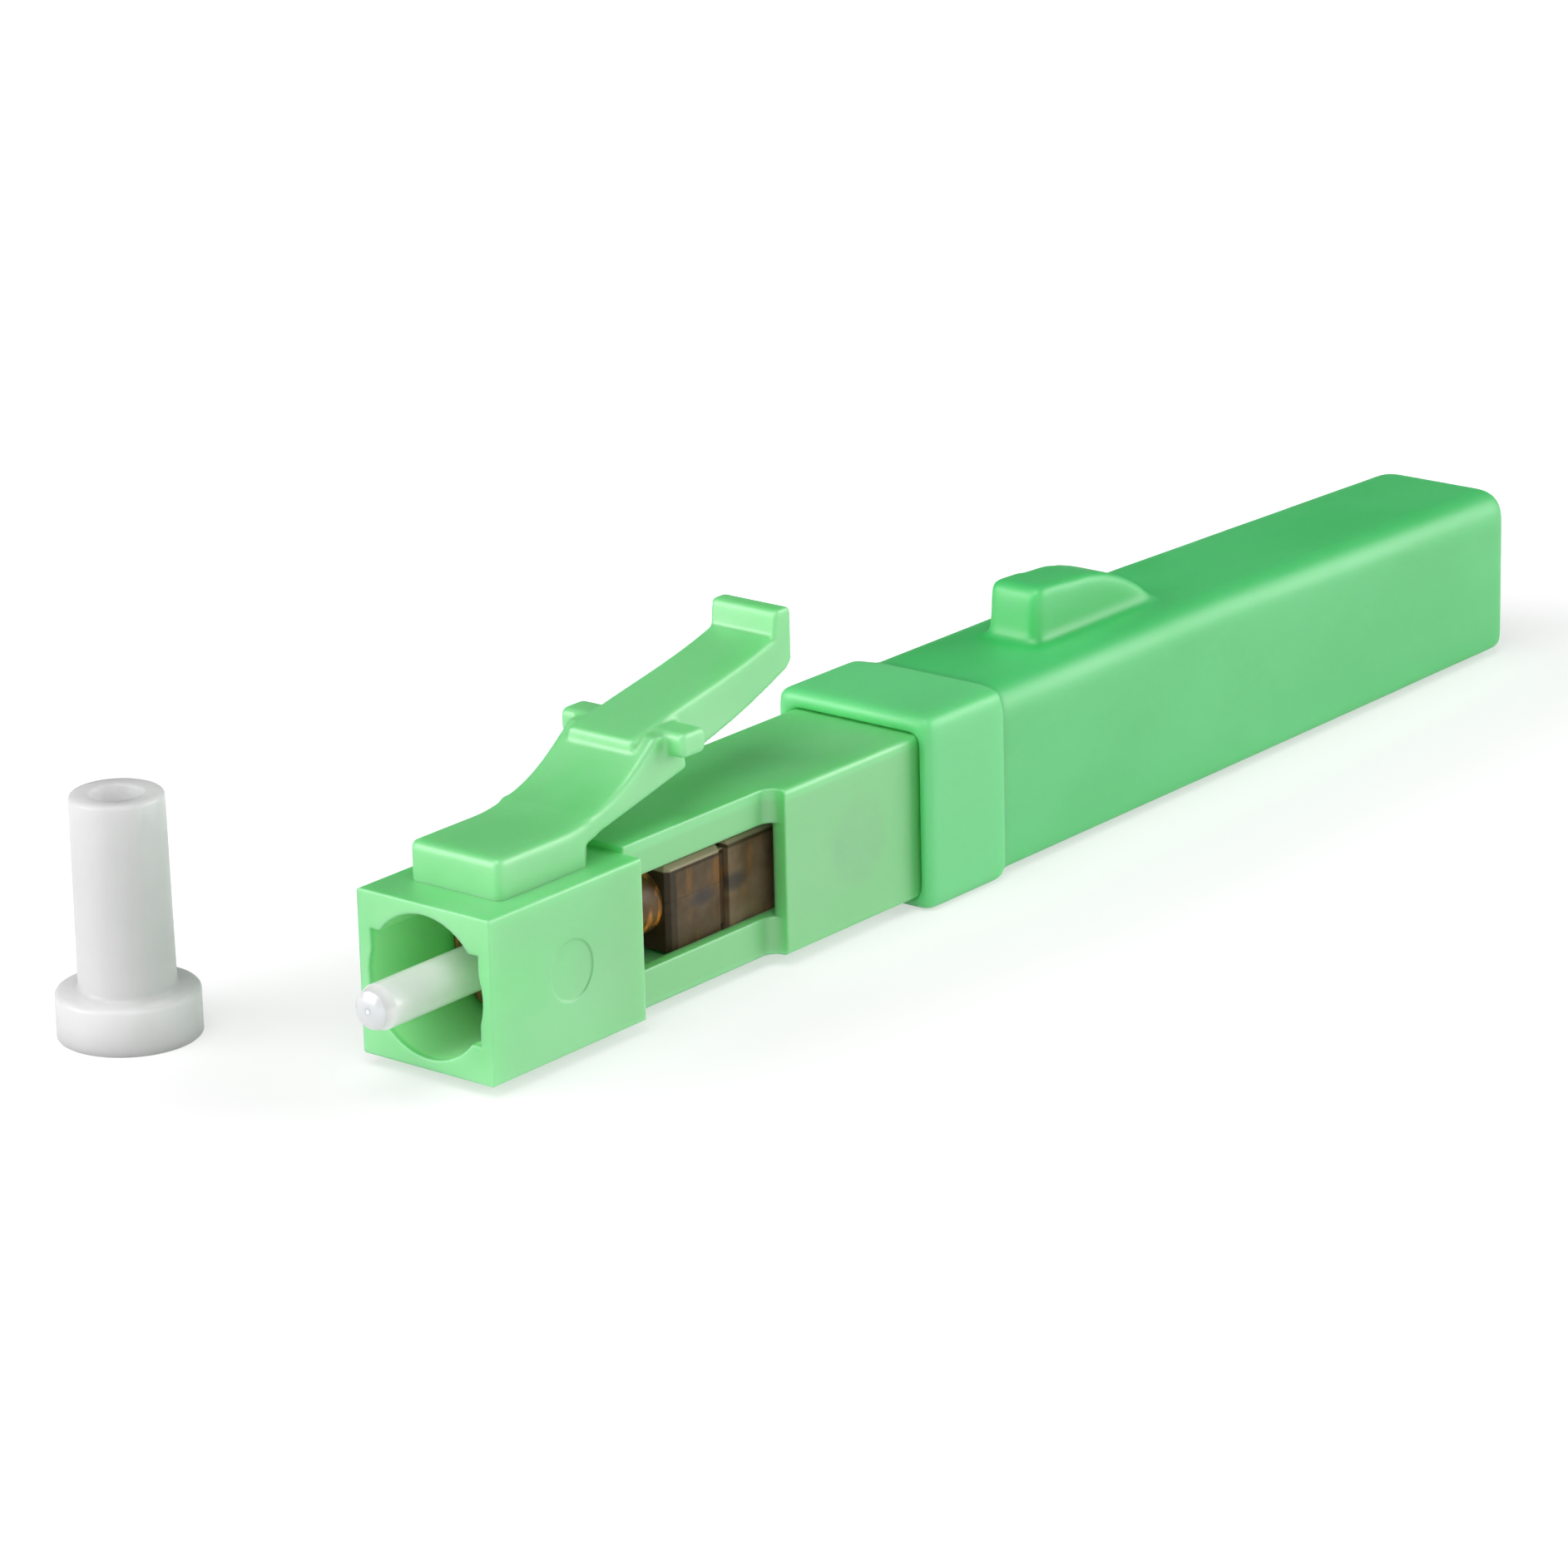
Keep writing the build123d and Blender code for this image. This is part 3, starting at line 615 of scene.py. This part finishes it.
@dataclass(frozen=True)
class InnerResin:
    """Plain moulding resin of the pieces inside the tail."""

    name: str
    body: Colour
    shade: Colour
    roughness: float = 0.5

    def build(self) -> bpy.types.Material:
        """Makes the material.

        Returns:
            The finished material.
        """
        material = bpy.data.materials.new(self.name)
        graph = Graph(material)
        flow = graph.noise(1.5 * MM, 3.0, (0.3, 1.0, 1.0))
        grain = graph.noise(0.06 * MM)
        shader = graph.node(
            "ShaderNodeBsdfPrincipled",
            inputs={
                "Base Color": graph.mix(flow.fade(0.3, 0.7), self.body, self.shade),
                "Roughness": flow * 0.14 + (self.roughness - 0.07),
                "Normal": graph.bump(grain, 0.005 * MM, graph.soft_edges(0.05 * MM)),
            },
        )
        graph.surface(shader)
        return material


@dataclass(frozen=True)
class DrawnWire:
    """Bright drawn spring wire."""

    name: str = "drawn_spring_wire"
    body: Colour = (0.62, 0.62, 0.63, 1.0)
    dull: Colour = (0.42, 0.42, 0.44, 1.0)

    def build(self) -> bpy.types.Material:
        """Makes the material.

        Returns:
            The finished material.
        """
        material = bpy.data.materials.new(self.name)
        graph = Graph(material)
        wear = graph.noise(0.3 * MM, 3.0)
        shader = graph.node(
            "ShaderNodeBsdfPrincipled",
            inputs={
                "Base Color": graph.mix(wear.fade(0.35, 0.7), self.body, self.dull),
                "Metallic": 1.0,
                "Roughness": wear * 0.2 + 0.2,
                "Normal": graph.bump(wear, 0.002 * MM),
            },
        )
        graph.surface(shader)
        return material


@dataclass(frozen=True)
class SilicaFibre:
    """Clear silica fibre with a slightly hazy skin."""

    name: str = "silica_fibre"
    body: Colour = (0.93, 0.96, 0.98, 1.0)
    skin: Colour = (0.8, 0.86, 0.9, 1.0)

    def build(self) -> bpy.types.Material:
        """Makes the material.

        Returns:
            The finished material.
        """
        material = bpy.data.materials.new(self.name)
        graph = Graph(material)
        haze = graph.noise(0.1 * MM)
        shader = graph.node(
            "ShaderNodeBsdfPrincipled",
            inputs={
                "Base Color": graph.mix(haze, self.body, self.skin),
                "Roughness": haze * 0.1 + 0.03,
                "IOR": 1.46,
            },
        )
        graph.surface(shader)
        return material


@dataclass(frozen=True)
class WhiteTable:
    """White table that keeps the object's soft shadow near it, glows less beside the object as painted shade
    round it, and runs out to plain white further off.
    """

    name: str = "white_table"
    body: Colour = (0.83, 0.83, 0.83, 1.0)
    seen_body: Colour = (0.50, 0.50, 0.50, 1.0)
    # painted shade: the glow that the camera sees is weaker beside the object than further off
    near_lift: float = 0.54
    far_lift: float = 0.78
    near: float = 2.0
    far: float = 16.0
    half_length: float = 23.75
    half_width: float = 2.6

    def away(self, graph: Graph) -> Socket:
        """How far a point of the table is from the object.

        Args:
            graph: The table's material.

        Returns:
            A mask that is 0 beside the object and 1 from the far distance on.
        """
        along, across, _ = graph.axes()
        past_end = (abs(along - self.half_length) - self.half_length) | 0.0
        past_side = (abs(across) - self.half_width) | 0.0
        return (past_end ** 2.0 + past_side ** 2.0).root().fade(self.near, self.far)

    def build(self) -> bpy.types.Material:
        """Makes the material.

        Returns:
            The finished material.
        """
        material = bpy.data.materials.new(self.name)
        graph = Graph(material)
        diffuse = graph.node("ShaderNodeBsdfDiffuse", inputs={"Color": self.body})
        shaded = graph.node("ShaderNodeBsdfDiffuse", inputs={"Color": self.seen_body})
        glows = [
            graph.node("ShaderNodeEmission", inputs={"Color": (1.0, 1.0, 1.0, 1.0), "Strength": lift})
            for lift in (self.near_lift, self.far_lift)
        ]
        # painted shade round the object: the weaker glow near it
        glow = graph.node("ShaderNodeMixShader", inputs={0: self.away(graph), 1: glows[0], 2: glows[1]})
        lit = graph.node("ShaderNodeAddShader", inputs={0: shaded, 1: glow})
        rays = ("Is Camera Ray", "Is Glossy Ray", "Is Transmission Ray")
        camera, glossy, through = (graph.node("ShaderNodeLightPath", output=ray) for ray in rays)
        seen = camera | glossy | through
        graph.surface(graph.node("ShaderNodeMixShader", inputs={0: seen, 1: diffuse, 2: lit}))
        return material


def assign(obj: bpy.types.Object, material: bpy.types.Material) -> None:
    """Gives an object one material in all its slots."""
    if not obj.material_slots:
        obj.data.materials.append(material)
    for slot in obj.material_slots:
        slot.material = material


def link_mesh(name: str, mesh: bpy.types.Mesh) -> bpy.types.Object:
    """Makes an object of a mesh and links it to the scene."""
    obj = bpy.data.objects.new(name, mesh)
    bpy.context.scene.collection.objects.link(obj)
    return obj


def voxel_mesh(name: str, source: bmesh.types.BMesh, voxel: float, rounds: int) -> bpy.types.Mesh:
    """Fuses closed shells that overlap into one even mesh and softens its edges.

    Args:
        name: The mesh's name.
        source: The shells, which are freed here.
        voxel: Width of one cell in metres.
        rounds: How many smoothing rounds the mesh gets.

    Returns:
        The fused mesh.
    """
    rough = bpy.data.meshes.new(name + "_rough")
    source.to_mesh(rough)
    source.free()
    holder = link_mesh(name + "_holder", rough)
    remesh = holder.modifiers.new("fuse", "REMESH")
    remesh.mode = "VOXEL"
    remesh.voxel_size = voxel
    evaluated = holder.evaluated_get(bpy.context.evaluated_depsgraph_get())
    fused = bpy.data.meshes.new_from_object(evaluated)
    bpy.data.objects.remove(holder)
    bpy.data.meshes.remove(rough)
    fused.name = name
    mesh = bmesh.new()
    mesh.from_mesh(fused)
    for _ in range(rounds):
        bmesh.ops.smooth_vert(
            mesh, verts=mesh.verts, factor=0.5, use_axis_x=True, use_axis_y=True, use_axis_z=True
        )
    mesh.to_mesh(fused)
    mesh.free()
    fused.shade_smooth()
    return fused


def prism(mesh: bmesh.types.BMesh, outline: Sequence[Point], half_width: float) -> None:
    """Adds a closed prism across the connector.

    Args:
        mesh: The mesh that it is added to.
        outline: X and Z of its section's points, in millimetres.
        half_width: Half of its width, in millimetres.
    """
    sides = [
        [mesh.verts.new(Vector((x, y, z)) * MM) for x, z in outline] for y in (-half_width, half_width)
    ]
    faces = [mesh.faces.new(sides[0]), mesh.faces.new(list(reversed(sides[1])))]
    for step in range(len(outline)):
        after = (step + 1) % len(outline)
        faces.append(mesh.faces.new([sides[0][after], sides[0][step], sides[1][step], sides[1][after]]))
    bmesh.ops.recalc_face_normals(mesh, faces=faces)


def arc(centre: Point, radius: float, start: float, end: float, steps: int) -> list[Point]:
    """Points on a circle's arc.

    Args:
        centre: The arc's centre.
        radius: Its radius.
        start: First angle in degrees.
        end: Last angle in degrees.
        steps: How many stretches the arc has.

    Returns:
        The points, with both ends.
    """
    angles = [math.radians(start + (end - start) * step / steps) for step in range(steps + 1)]
    return [(centre[0] + radius * math.cos(angle), centre[1] + radius * math.sin(angle)) for angle in angles]


def lathe(name: str, outline: Sequence[Point], centre: Vector, segments: int = 96) -> bpy.types.Object:
    """Turns an outline about a vertical axis.

    Args:
        name: The object's name.
        outline: Radius and height of each point, in millimetres.
        centre: The foot of the axis, in metres.
        segments: How many stretches the round has.

    Returns:
        The turned object.
    """
    mesh = bmesh.new()
    turns = [math.tau * step / segments for step in range(segments)]
    rings = []
    for radius, height in outline:
        spokes = [Vector((radius * math.cos(turn), radius * math.sin(turn), height)) for turn in turns]
        if radius == 0.0:
            spokes = spokes[:1]
        rings.append([mesh.verts.new(centre + spoke * MM) for spoke in spokes])
    for low, high in zip(rings, rings[1:]):
        for step in range(segments):
            after = (step + 1) % segments
            below = [low[step % len(low)], low[after % len(low)]]
            above = [high[after % len(high)], high[step % len(high)]]
            unique = list(dict.fromkeys(below + above))
            if len(unique) > 2:
                mesh.faces.new(unique)
    bmesh.ops.recalc_face_normals(mesh, faces=mesh.faces)
    data = bpy.data.meshes.new(name)
    mesh.to_mesh(data)
    mesh.free()
    data.shade_smooth()
    return link_mesh(name, data)


@dataclass
class DustCap:
    """Ferrule cap: a drafted tube on a round flange, open at the top, standing on the table."""

    flange_radius: float = 1.94
    flange_height: float = 1.3
    tube_foot_radius: float = 1.31
    tube_top_radius: float = 1.27
    bore_radius: float = 0.68
    bore_mouth: float = 0.12
    bore_floor: float = 1.1
    bore_draft: float = 0.03
    bore_cone: float = 0.2
    edge: float = 0.14
    foot_edge: float = 0.06
    root: float = 0.16
    finish: FrostedResin = field(default_factory=FrostedResin)

    def outline(self, height: float) -> list[Point]:
        """Radius and height of the cap's section.

        Args:
            height: The whole height of the cap, in millimetres.

        Returns:
            The section's points, from the foot's centre round to the bore's floor.
        """
        flange = self.flange_radius
        points: list[Point] = [(0.0, 0.0)]
        points += arc((flange - self.foot_edge, self.foot_edge), self.foot_edge, -90, 0, 3)
        points += arc((flange - self.edge, self.flange_height - self.edge), self.edge, 0, 90, 6)
        root_centre = (self.tube_foot_radius + self.root, self.flange_height + self.root)
        points += arc(root_centre, self.root, -90, -180, 6)
        points += arc((self.tube_top_radius - self.edge, height - self.edge), self.edge, 0, 90, 6)
        mouth_centre = (self.bore_radius + self.bore_mouth, height - self.bore_mouth)
        points += arc(mouth_centre, self.bore_mouth, 90, 180, 5)
        points += [(self.bore_radius - self.bore_draft, self.bore_floor + self.bore_cone)]
        points += [(self.bore_radius - self.bore_cone, self.bore_floor), (0.0, self.bore_floor)]
        return points

    def build(self) -> None:
        """Turns the cap where its solid stands and dresses it."""
        low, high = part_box(Node.CAP.value)
        centre = Vector(((low.x + high.x) / 2, (low.y + high.y) / 2, low.z))
        piece = lathe("cap_shell", self.outline((high.z - low.z) / MM), centre)
        assign(piece, self.finish.build())
        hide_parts(Node.CAP.value)
        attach(piece, Body.HOUSING.value)
        LOG.info("cap_shell: %d faces", len(piece.data.polygons))


def slab(mesh: bmesh.types.BMesh, along: Point, across: Point, up: Point) -> None:
    """Adds a closed block.

    Args:
        mesh: The mesh that it is added to.
        along: Its ends on X, in millimetres.
        across: Its sides on Y, in millimetres.
        up: Its foot and top on Z, in millimetres.
    """
    spans = (along, across, up)
    middle = Vector([(low + high) / 2 * MM for low, high in spans])
    size = Matrix.Diagonal([(high - low) * MM for low, high in spans] + [1.0])
    bmesh.ops.create_cube(mesh, size=1.0, matrix=Matrix.Translation(middle) @ size)


@dataclass
class LatchSkin:
    """One unbroken moulding from the latch pedestal into the latch arm, swelled slightly on the housing side
    of where the real arm bends at its root.
    """

    cut_height: float = 2.4
    cut_rear: float = 5.5
    foot_drop: float = 0.3
    half_width: float = 1.525
    root: Point = (5.0, 3.22)
    root_radius: float = 0.315
    corner: Point = (4.95, 2.58)
    corner_radius: float = 0.32
    corner_overlap: float = 0.2
    fill_front_x: float = 4.4
    fill_top_z: float = 3.3
    fill_foot_z: float = 2.3
    swell: float = 0.022
    bend_start: float = 4.6
    bend_end: float = 5.4
    voxel: float = 0.05
    rounds: int = 5
    finish: MouldedGreen = field(default_factory=lambda: MouldedGreen("latch_green"))

    def pedestal(self) -> bmesh.types.BMesh:
        """Copies the pedestal off the housing and closes it below.

        Returns:
            The closed pedestal.
        """
        mesh = bmesh.new()
        mesh.from_mesh(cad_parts[Node.HOUSING.value].data)
        bmesh.ops.remove_doubles(mesh, verts=mesh.verts, dist=MERGE)
        corner = Vector((self.cut_rear, 0, self.cut_height)) * MM
        for keep in ((0, 0, 1), (-1, 0, 0)):
            parts = mesh.verts[:] + mesh.edges[:] + mesh.faces[:]
            bmesh.ops.bisect_plane(mesh, geom=parts, plane_co=corner, plane_no=keep, clear_inner=True)
        rim = [edge for edge in mesh.edges if edge.is_boundary]
        grown = bmesh.ops.extrude_edge_only(mesh, edges=rim)["geom"]
        lowered = [item for item in grown if isinstance(item, bmesh.types.BMVert)]
        bmesh.ops.translate(mesh, verts=lowered, vec=(0, 0, -self.foot_drop * MM))
        bmesh.ops.holes_fill(mesh, edges=[edge for edge in mesh.edges if edge.is_boundary])
        return mesh

    def add_root(self, mesh: bmesh.types.BMesh) -> None:
        """Fills the joint line at the arm's root and rounds out the corner under it."""
        prism(mesh, arc(self.root, self.root_radius, 0, 330, 11), self.half_width)
        inner = arc(self.corner, self.corner_radius, 180, 90, 8)
        foot = (self.corner[0] - self.corner_radius, self.fill_foot_z)
        outline = [(self.fill_front_x, self.fill_foot_z), foot, *inner]
        top_rear = (self.corner[0] + self.corner_overlap, self.fill_top_z)
        outline += [top_rear, (self.fill_front_x, self.fill_top_z)]
        prism(mesh, outline, self.half_width)

    def build(self) -> None:
        """Makes the skin, swells it slightly towards the housing and lets it stand for the arm."""
        mesh = self.pedestal()
        mesh.from_mesh(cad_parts[Node.LATCH.value].data)
        bmesh.ops.remove_doubles(mesh, verts=mesh.verts, dist=MERGE)
        self.add_root(mesh)
        data = voxel_mesh("latch_skin", mesh, self.voxel * MM, self.rounds)
        normals = [vertex.normal.copy() for vertex in data.vertices]
        for vertex, normal in zip(data.vertices, normals):
            share = (self.bend_end * MM - vertex.co.x) / ((self.bend_end - self.bend_start) * MM)
            vertex.co += normal * (self.swell * MM * min(max(share, 0.0), 1.0))
        piece = link_mesh("latch_skin", data)
        assign(piece, self.finish.build())
        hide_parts(Node.LATCH.value)
        height = self.root[1] * MM
        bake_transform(piece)
        LOG.info("latch_skin: %d faces", len(piece.data.polygons))


@dataclass
class TailSkin:
    """Collar, tail tube and thumb tab as one moulding with soft edges."""

    voxel: float = 0.11
    rounds: int = 13
    mouth: Point = (17.78, 18.9)
    mouth_half: float = 2.208
    mouth_span: Point = (-2.268, 2.448)
    mouth_wall: float = 0.2
    finish: TailGreen = field(
        default_factory=lambda: TailGreen(
            "tail_green",
            (0.065, 0.62, 0.17, 1.0),
            (0.045, 0.58, 0.14, 1.0),
            edge_radius=0.2 * MM,
            gloss_index=2.0,
        )
    )

    def add_lip(self, mesh: bmesh.types.BMesh) -> None:
        """Adds the lip that closes the collar's mouth onto the housing.

        Args:
            mesh: The copied sleeve.
        """
        near, far = self.mouth_half, self.mouth_half + self.mouth_wall
        floor, roof = self.mouth_span
        slab(mesh, self.mouth, (-far, far), (roof, roof + self.mouth_wall))
        slab(mesh, self.mouth, (-far, far), (floor - self.mouth_wall, floor))
        for across in ((-far, -near), (near, far)):
            slab(mesh, self.mouth, across, (floor - self.mouth_wall, roof + self.mouth_wall))

    def build(self) -> None:
        """Copies the sleeve, softens its edges and lets the copy stand for it."""
        mesh = bmesh.new()
        mesh.from_mesh(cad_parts[Node.SLEEVE.value].data)
        bmesh.ops.remove_doubles(mesh, verts=mesh.verts, dist=MERGE)
        self.add_lip(mesh)
        piece = link_mesh("tail_skin", voxel_mesh("tail_skin", mesh, self.voxel * MM, self.rounds))
        assign(piece, self.finish.build())
        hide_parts(Node.SLEEVE.value)
        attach(piece, Body.TAIL.value)
        LOG.info("tail_skin: %d faces", len(piece.data.polygons))


@dataclass
class FloatSpring:
    """The ferrule's return spring, copied as it stands; on the real connector its coils close up as the
    ferrule floats back.
    """

    finish: DrawnWire = field(default_factory=DrawnWire)

    def build(self) -> None:
        """Copies the spring, dresses the copy and lets it stand for the solid."""
        piece = link_mesh("spring_coil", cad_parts[Node.SPRING.value].data.copy())
        assign(piece, self.finish.build())
        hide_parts(Node.SPRING.value)
        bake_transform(piece)
        LOG.info("spring_coil: %d faces", len(piece.data.polygons))


@dataclass
class Connector:
    """Dresses the solids that are shown as they are."""

    housing: ShowThroughGreen = field(default_factory=lambda: ShowThroughGreen("housing_green"))
    ceramic: PolishedCeramic = field(default_factory=PolishedCeramic)
    # painted glints: the flange's bright amber over all its streaks
    flange: BrownResin = field(
        default_factory=lambda: BrownResin(
            "flange_brown",
            (0.105, 0.055, 0.018, 1.0),
            (0.185, 0.100, 0.036, 1.0),
            (0.80, 0.30, 0.04, 1.0),
            glint_amount=1.0,
        )
    )
    # painted shade: a dark band at the front of the base and lid
    base: BrownResin = field(default_factory=lambda: BrownResin("base_brown", ledge_z=0.93, shade_band_x=8.7))
    lid: BrownResin = field(default_factory=lambda: BrownResin("lid_brown", ledge_z=0.93, shade_band_x=8.7))
    # painted light: the clamp's body and cloud are lighter than the other blocks, to make up for the shade it
    # sits in; its glow patch is painted light too
    clamp: BrownResin = field(
        default_factory=lambda: BrownResin(
            "clamp_brown",
            (0.150, 0.096, 0.052, 1.0),
            (0.240, 0.170, 0.105, 1.0),
            ledge_z=1.08,
            smudge_at=(11.0, 0.0),
            smudge_size=(0.5, 0.3),
            glow_patch_at=(12.4, -1.5),
        )
    )

    def finishes(self) -> dict[Node, Any]:
        """The finish of each solid that stays in view.

        Returns:
            A finish for each node.
        """
        tan = InnerResin("frame_resin", (0.42, 0.33, 0.24, 1.0), (0.36, 0.28, 0.2, 1.0))
        natural = InnerResin("jaw_resin", (0.74, 0.76, 0.74, 1.0), (0.66, 0.68, 0.66, 1.0))
        natural_upper = InnerResin("jaw_resin_upper", (0.72, 0.74, 0.73, 1.0), (0.65, 0.67, 0.65, 1.0))
        clear = InnerResin("guide_resin", (0.72, 0.78, 0.8, 1.0), (0.64, 0.7, 0.74, 1.0), 0.3)
        return {
            Node.HOUSING: self.housing,
            Node.FERRULE: self.ceramic,
            Node.STUB: SilicaFibre(),
            Node.FLANGE: self.flange,
            Node.BASE: self.base,
            Node.LID: self.lid,
            Node.CLAMP: self.clamp,
            Node.FRAME: tan,
            Node.GUIDE: clear,
            Node.JAW_LOWER: natural,
            Node.JAW_UPPER: natural_upper,
        }

    def build(self) -> None:
        """Gives each solid its finish."""
        for node, finish in self.finishes().items():
            assign(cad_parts[node.value], finish.build())
            LOG.info("%s: %s", node.value, finish.name)


@dataclass(frozen=True)
class Softbox:
    """A square lamp, its place from the object's middle and its power in watts."""

    name: str
    offset: tuple[float, float, float]
    side: float
    power: float


SOFTBOXES = (
    Softbox("right_softbox", (0.36, -0.30, 0.16), 0.34, 1.4),
    Softbox("left_softbox", (-0.40, 0.27, 0.13), 0.34, 1.62),
    Softbox("front_softbox", (-0.22, -0.36, 0.14), 0.30, 0.3),
    Softbox("overhead_softbox", (-0.22, -0.07, 0.45), 0.40, 1.5),
)


@dataclass
class Studio:
    """White table, white surroundings and the soft lamps."""

    table_size: float = 4.0
    world_strength: float = 0.10
    white: Colour = (1.0, 1.0, 1.0, 1.0)
    table: WhiteTable = field(default_factory=WhiteTable)
    lamps: tuple[Softbox, ...] = SOFTBOXES

    def table_top(self) -> None:
        """Lays the table under the object's lowest point."""
        mesh = bmesh.new()
        half = self.table_size / 2
        height = CAD_BOUNDS[0].z
        corners = [(-half, -half), (half, -half), (half, half), (-half, half)]
        mesh.faces.new([mesh.verts.new((x, y, height)) for x, y in corners])
        data = bpy.data.meshes.new("table_top")
        mesh.to_mesh(data)
        mesh.free()
        top = link_mesh("table_top", data)
        assign(top, self.table.build())
        LOG.info("table_top: %.1f m square", self.table_size)

    def surroundings(self) -> None:
        """Soft light from all round, seen as plain white."""
        world = bpy.data.worlds.new("white_room")
        bpy.context.scene.world = world
        world.use_nodes = True
        tree = world.node_tree
        tree.nodes.clear()
        output = tree.nodes.new("ShaderNodeOutputWorld")
        room = tree.nodes.new("ShaderNodeBackground")
        room.inputs["Color"].default_value = self.white
        room.inputs["Strength"].default_value = self.world_strength
        seen = tree.nodes.new("ShaderNodeBackground")
        seen.inputs["Color"].default_value = self.white
        path = tree.nodes.new("ShaderNodeLightPath")
        mix = tree.nodes.new("ShaderNodeMixShader")
        tree.links.new(path.outputs["Is Camera Ray"], mix.inputs[0])
        tree.links.new(room.outputs[0], mix.inputs[1])
        tree.links.new(seen.outputs[0], mix.inputs[2])
        tree.links.new(mix.outputs[0], output.inputs["Surface"])

    @staticmethod
    def hang(softbox: Softbox, aim: Vector) -> None:
        """Hangs one lamp and turns it to the object.

        Args:
            softbox: The lamp.
            aim: The point that it faces.
        """
        data = bpy.data.lights.new(softbox.name, "AREA")
        data.size = softbox.side
        data.energy = softbox.power
        lamp = bpy.data.objects.new(softbox.name, data)
        lamp.location = aim + Vector(softbox.offset)
        lamp.rotation_mode = "QUATERNION"
        lamp.rotation_quaternion = (aim - lamp.location).to_track_quat("-Z", "Y")
        bpy.context.scene.collection.objects.link(lamp)
        LOG.info("%s: %.2f W", softbox.name, softbox.power)

    def build(self) -> None:
        """Sets up the table, the surroundings and the lamps."""
        self.table_top()
        self.surroundings()
        aim = (CAD_BOUNDS[0] + CAD_BOUNDS[1]) / 2
        for softbox in self.lamps:
            self.hang(softbox, aim)


@dataclass
class PhotoCamera:
    """Camera at the photograph's point of view: its angles in radians, its place and its focal length."""

    azimuth: float = -0.88458
    elevation: float = 0.31977
    roll: float = -0.02473
    place: Vector = field(default_factory=lambda: Vector((-110.362, -102.433, 55.017)) * MM)
    focal_pixels: float = 7500.0
    frame_pixels: float = 1885.0
    sensor: float = 36.0
    clip: Point = (0.005, 20.0)

    def build(self) -> None:
        """Makes the camera and gives it to the scene."""
        back = Vector(
            (
                math.sin(self.azimuth) * math.cos(self.elevation),
                -math.cos(self.azimuth) * math.cos(self.elevation),
                math.sin(self.elevation),
            )
        )
        right = (-back).cross(Vector((0, 0, 1))).normalized()
        up = right.cross(-back)
        turned_right = right * math.cos(self.roll) + up * math.sin(self.roll)
        turned_up = up * math.cos(self.roll) - right * math.sin(self.roll)
        data = bpy.data.cameras.new("photo_camera")
        data.sensor_width = self.sensor
        data.lens = self.focal_pixels * self.sensor / self.frame_pixels
        data.clip_start, data.clip_end = self.clip
        camera = bpy.data.objects.new("photo_camera", data)
        turn = Matrix((turned_right, turned_up, back)).transposed().to_4x4()
        camera.matrix_world = Matrix.Translation(self.place) @ turn
        bpy.context.scene.collection.objects.link(camera)
        bpy.context.scene.camera = camera
        LOG.info("photo_camera: %.1f mm lens", data.lens)


def main() -> None:
    """Builds the pieces, the studio and the camera in order."""
    bpy.context.scene.view_settings.view_transform = "Standard"
    Connector().build()
    LatchSkin().build()
    TailSkin().build()
    FloatSpring().build()
    DustCap().build()
    Studio().build()
    PhotoCamera().build()


if __name__ == "__main__":
    main()
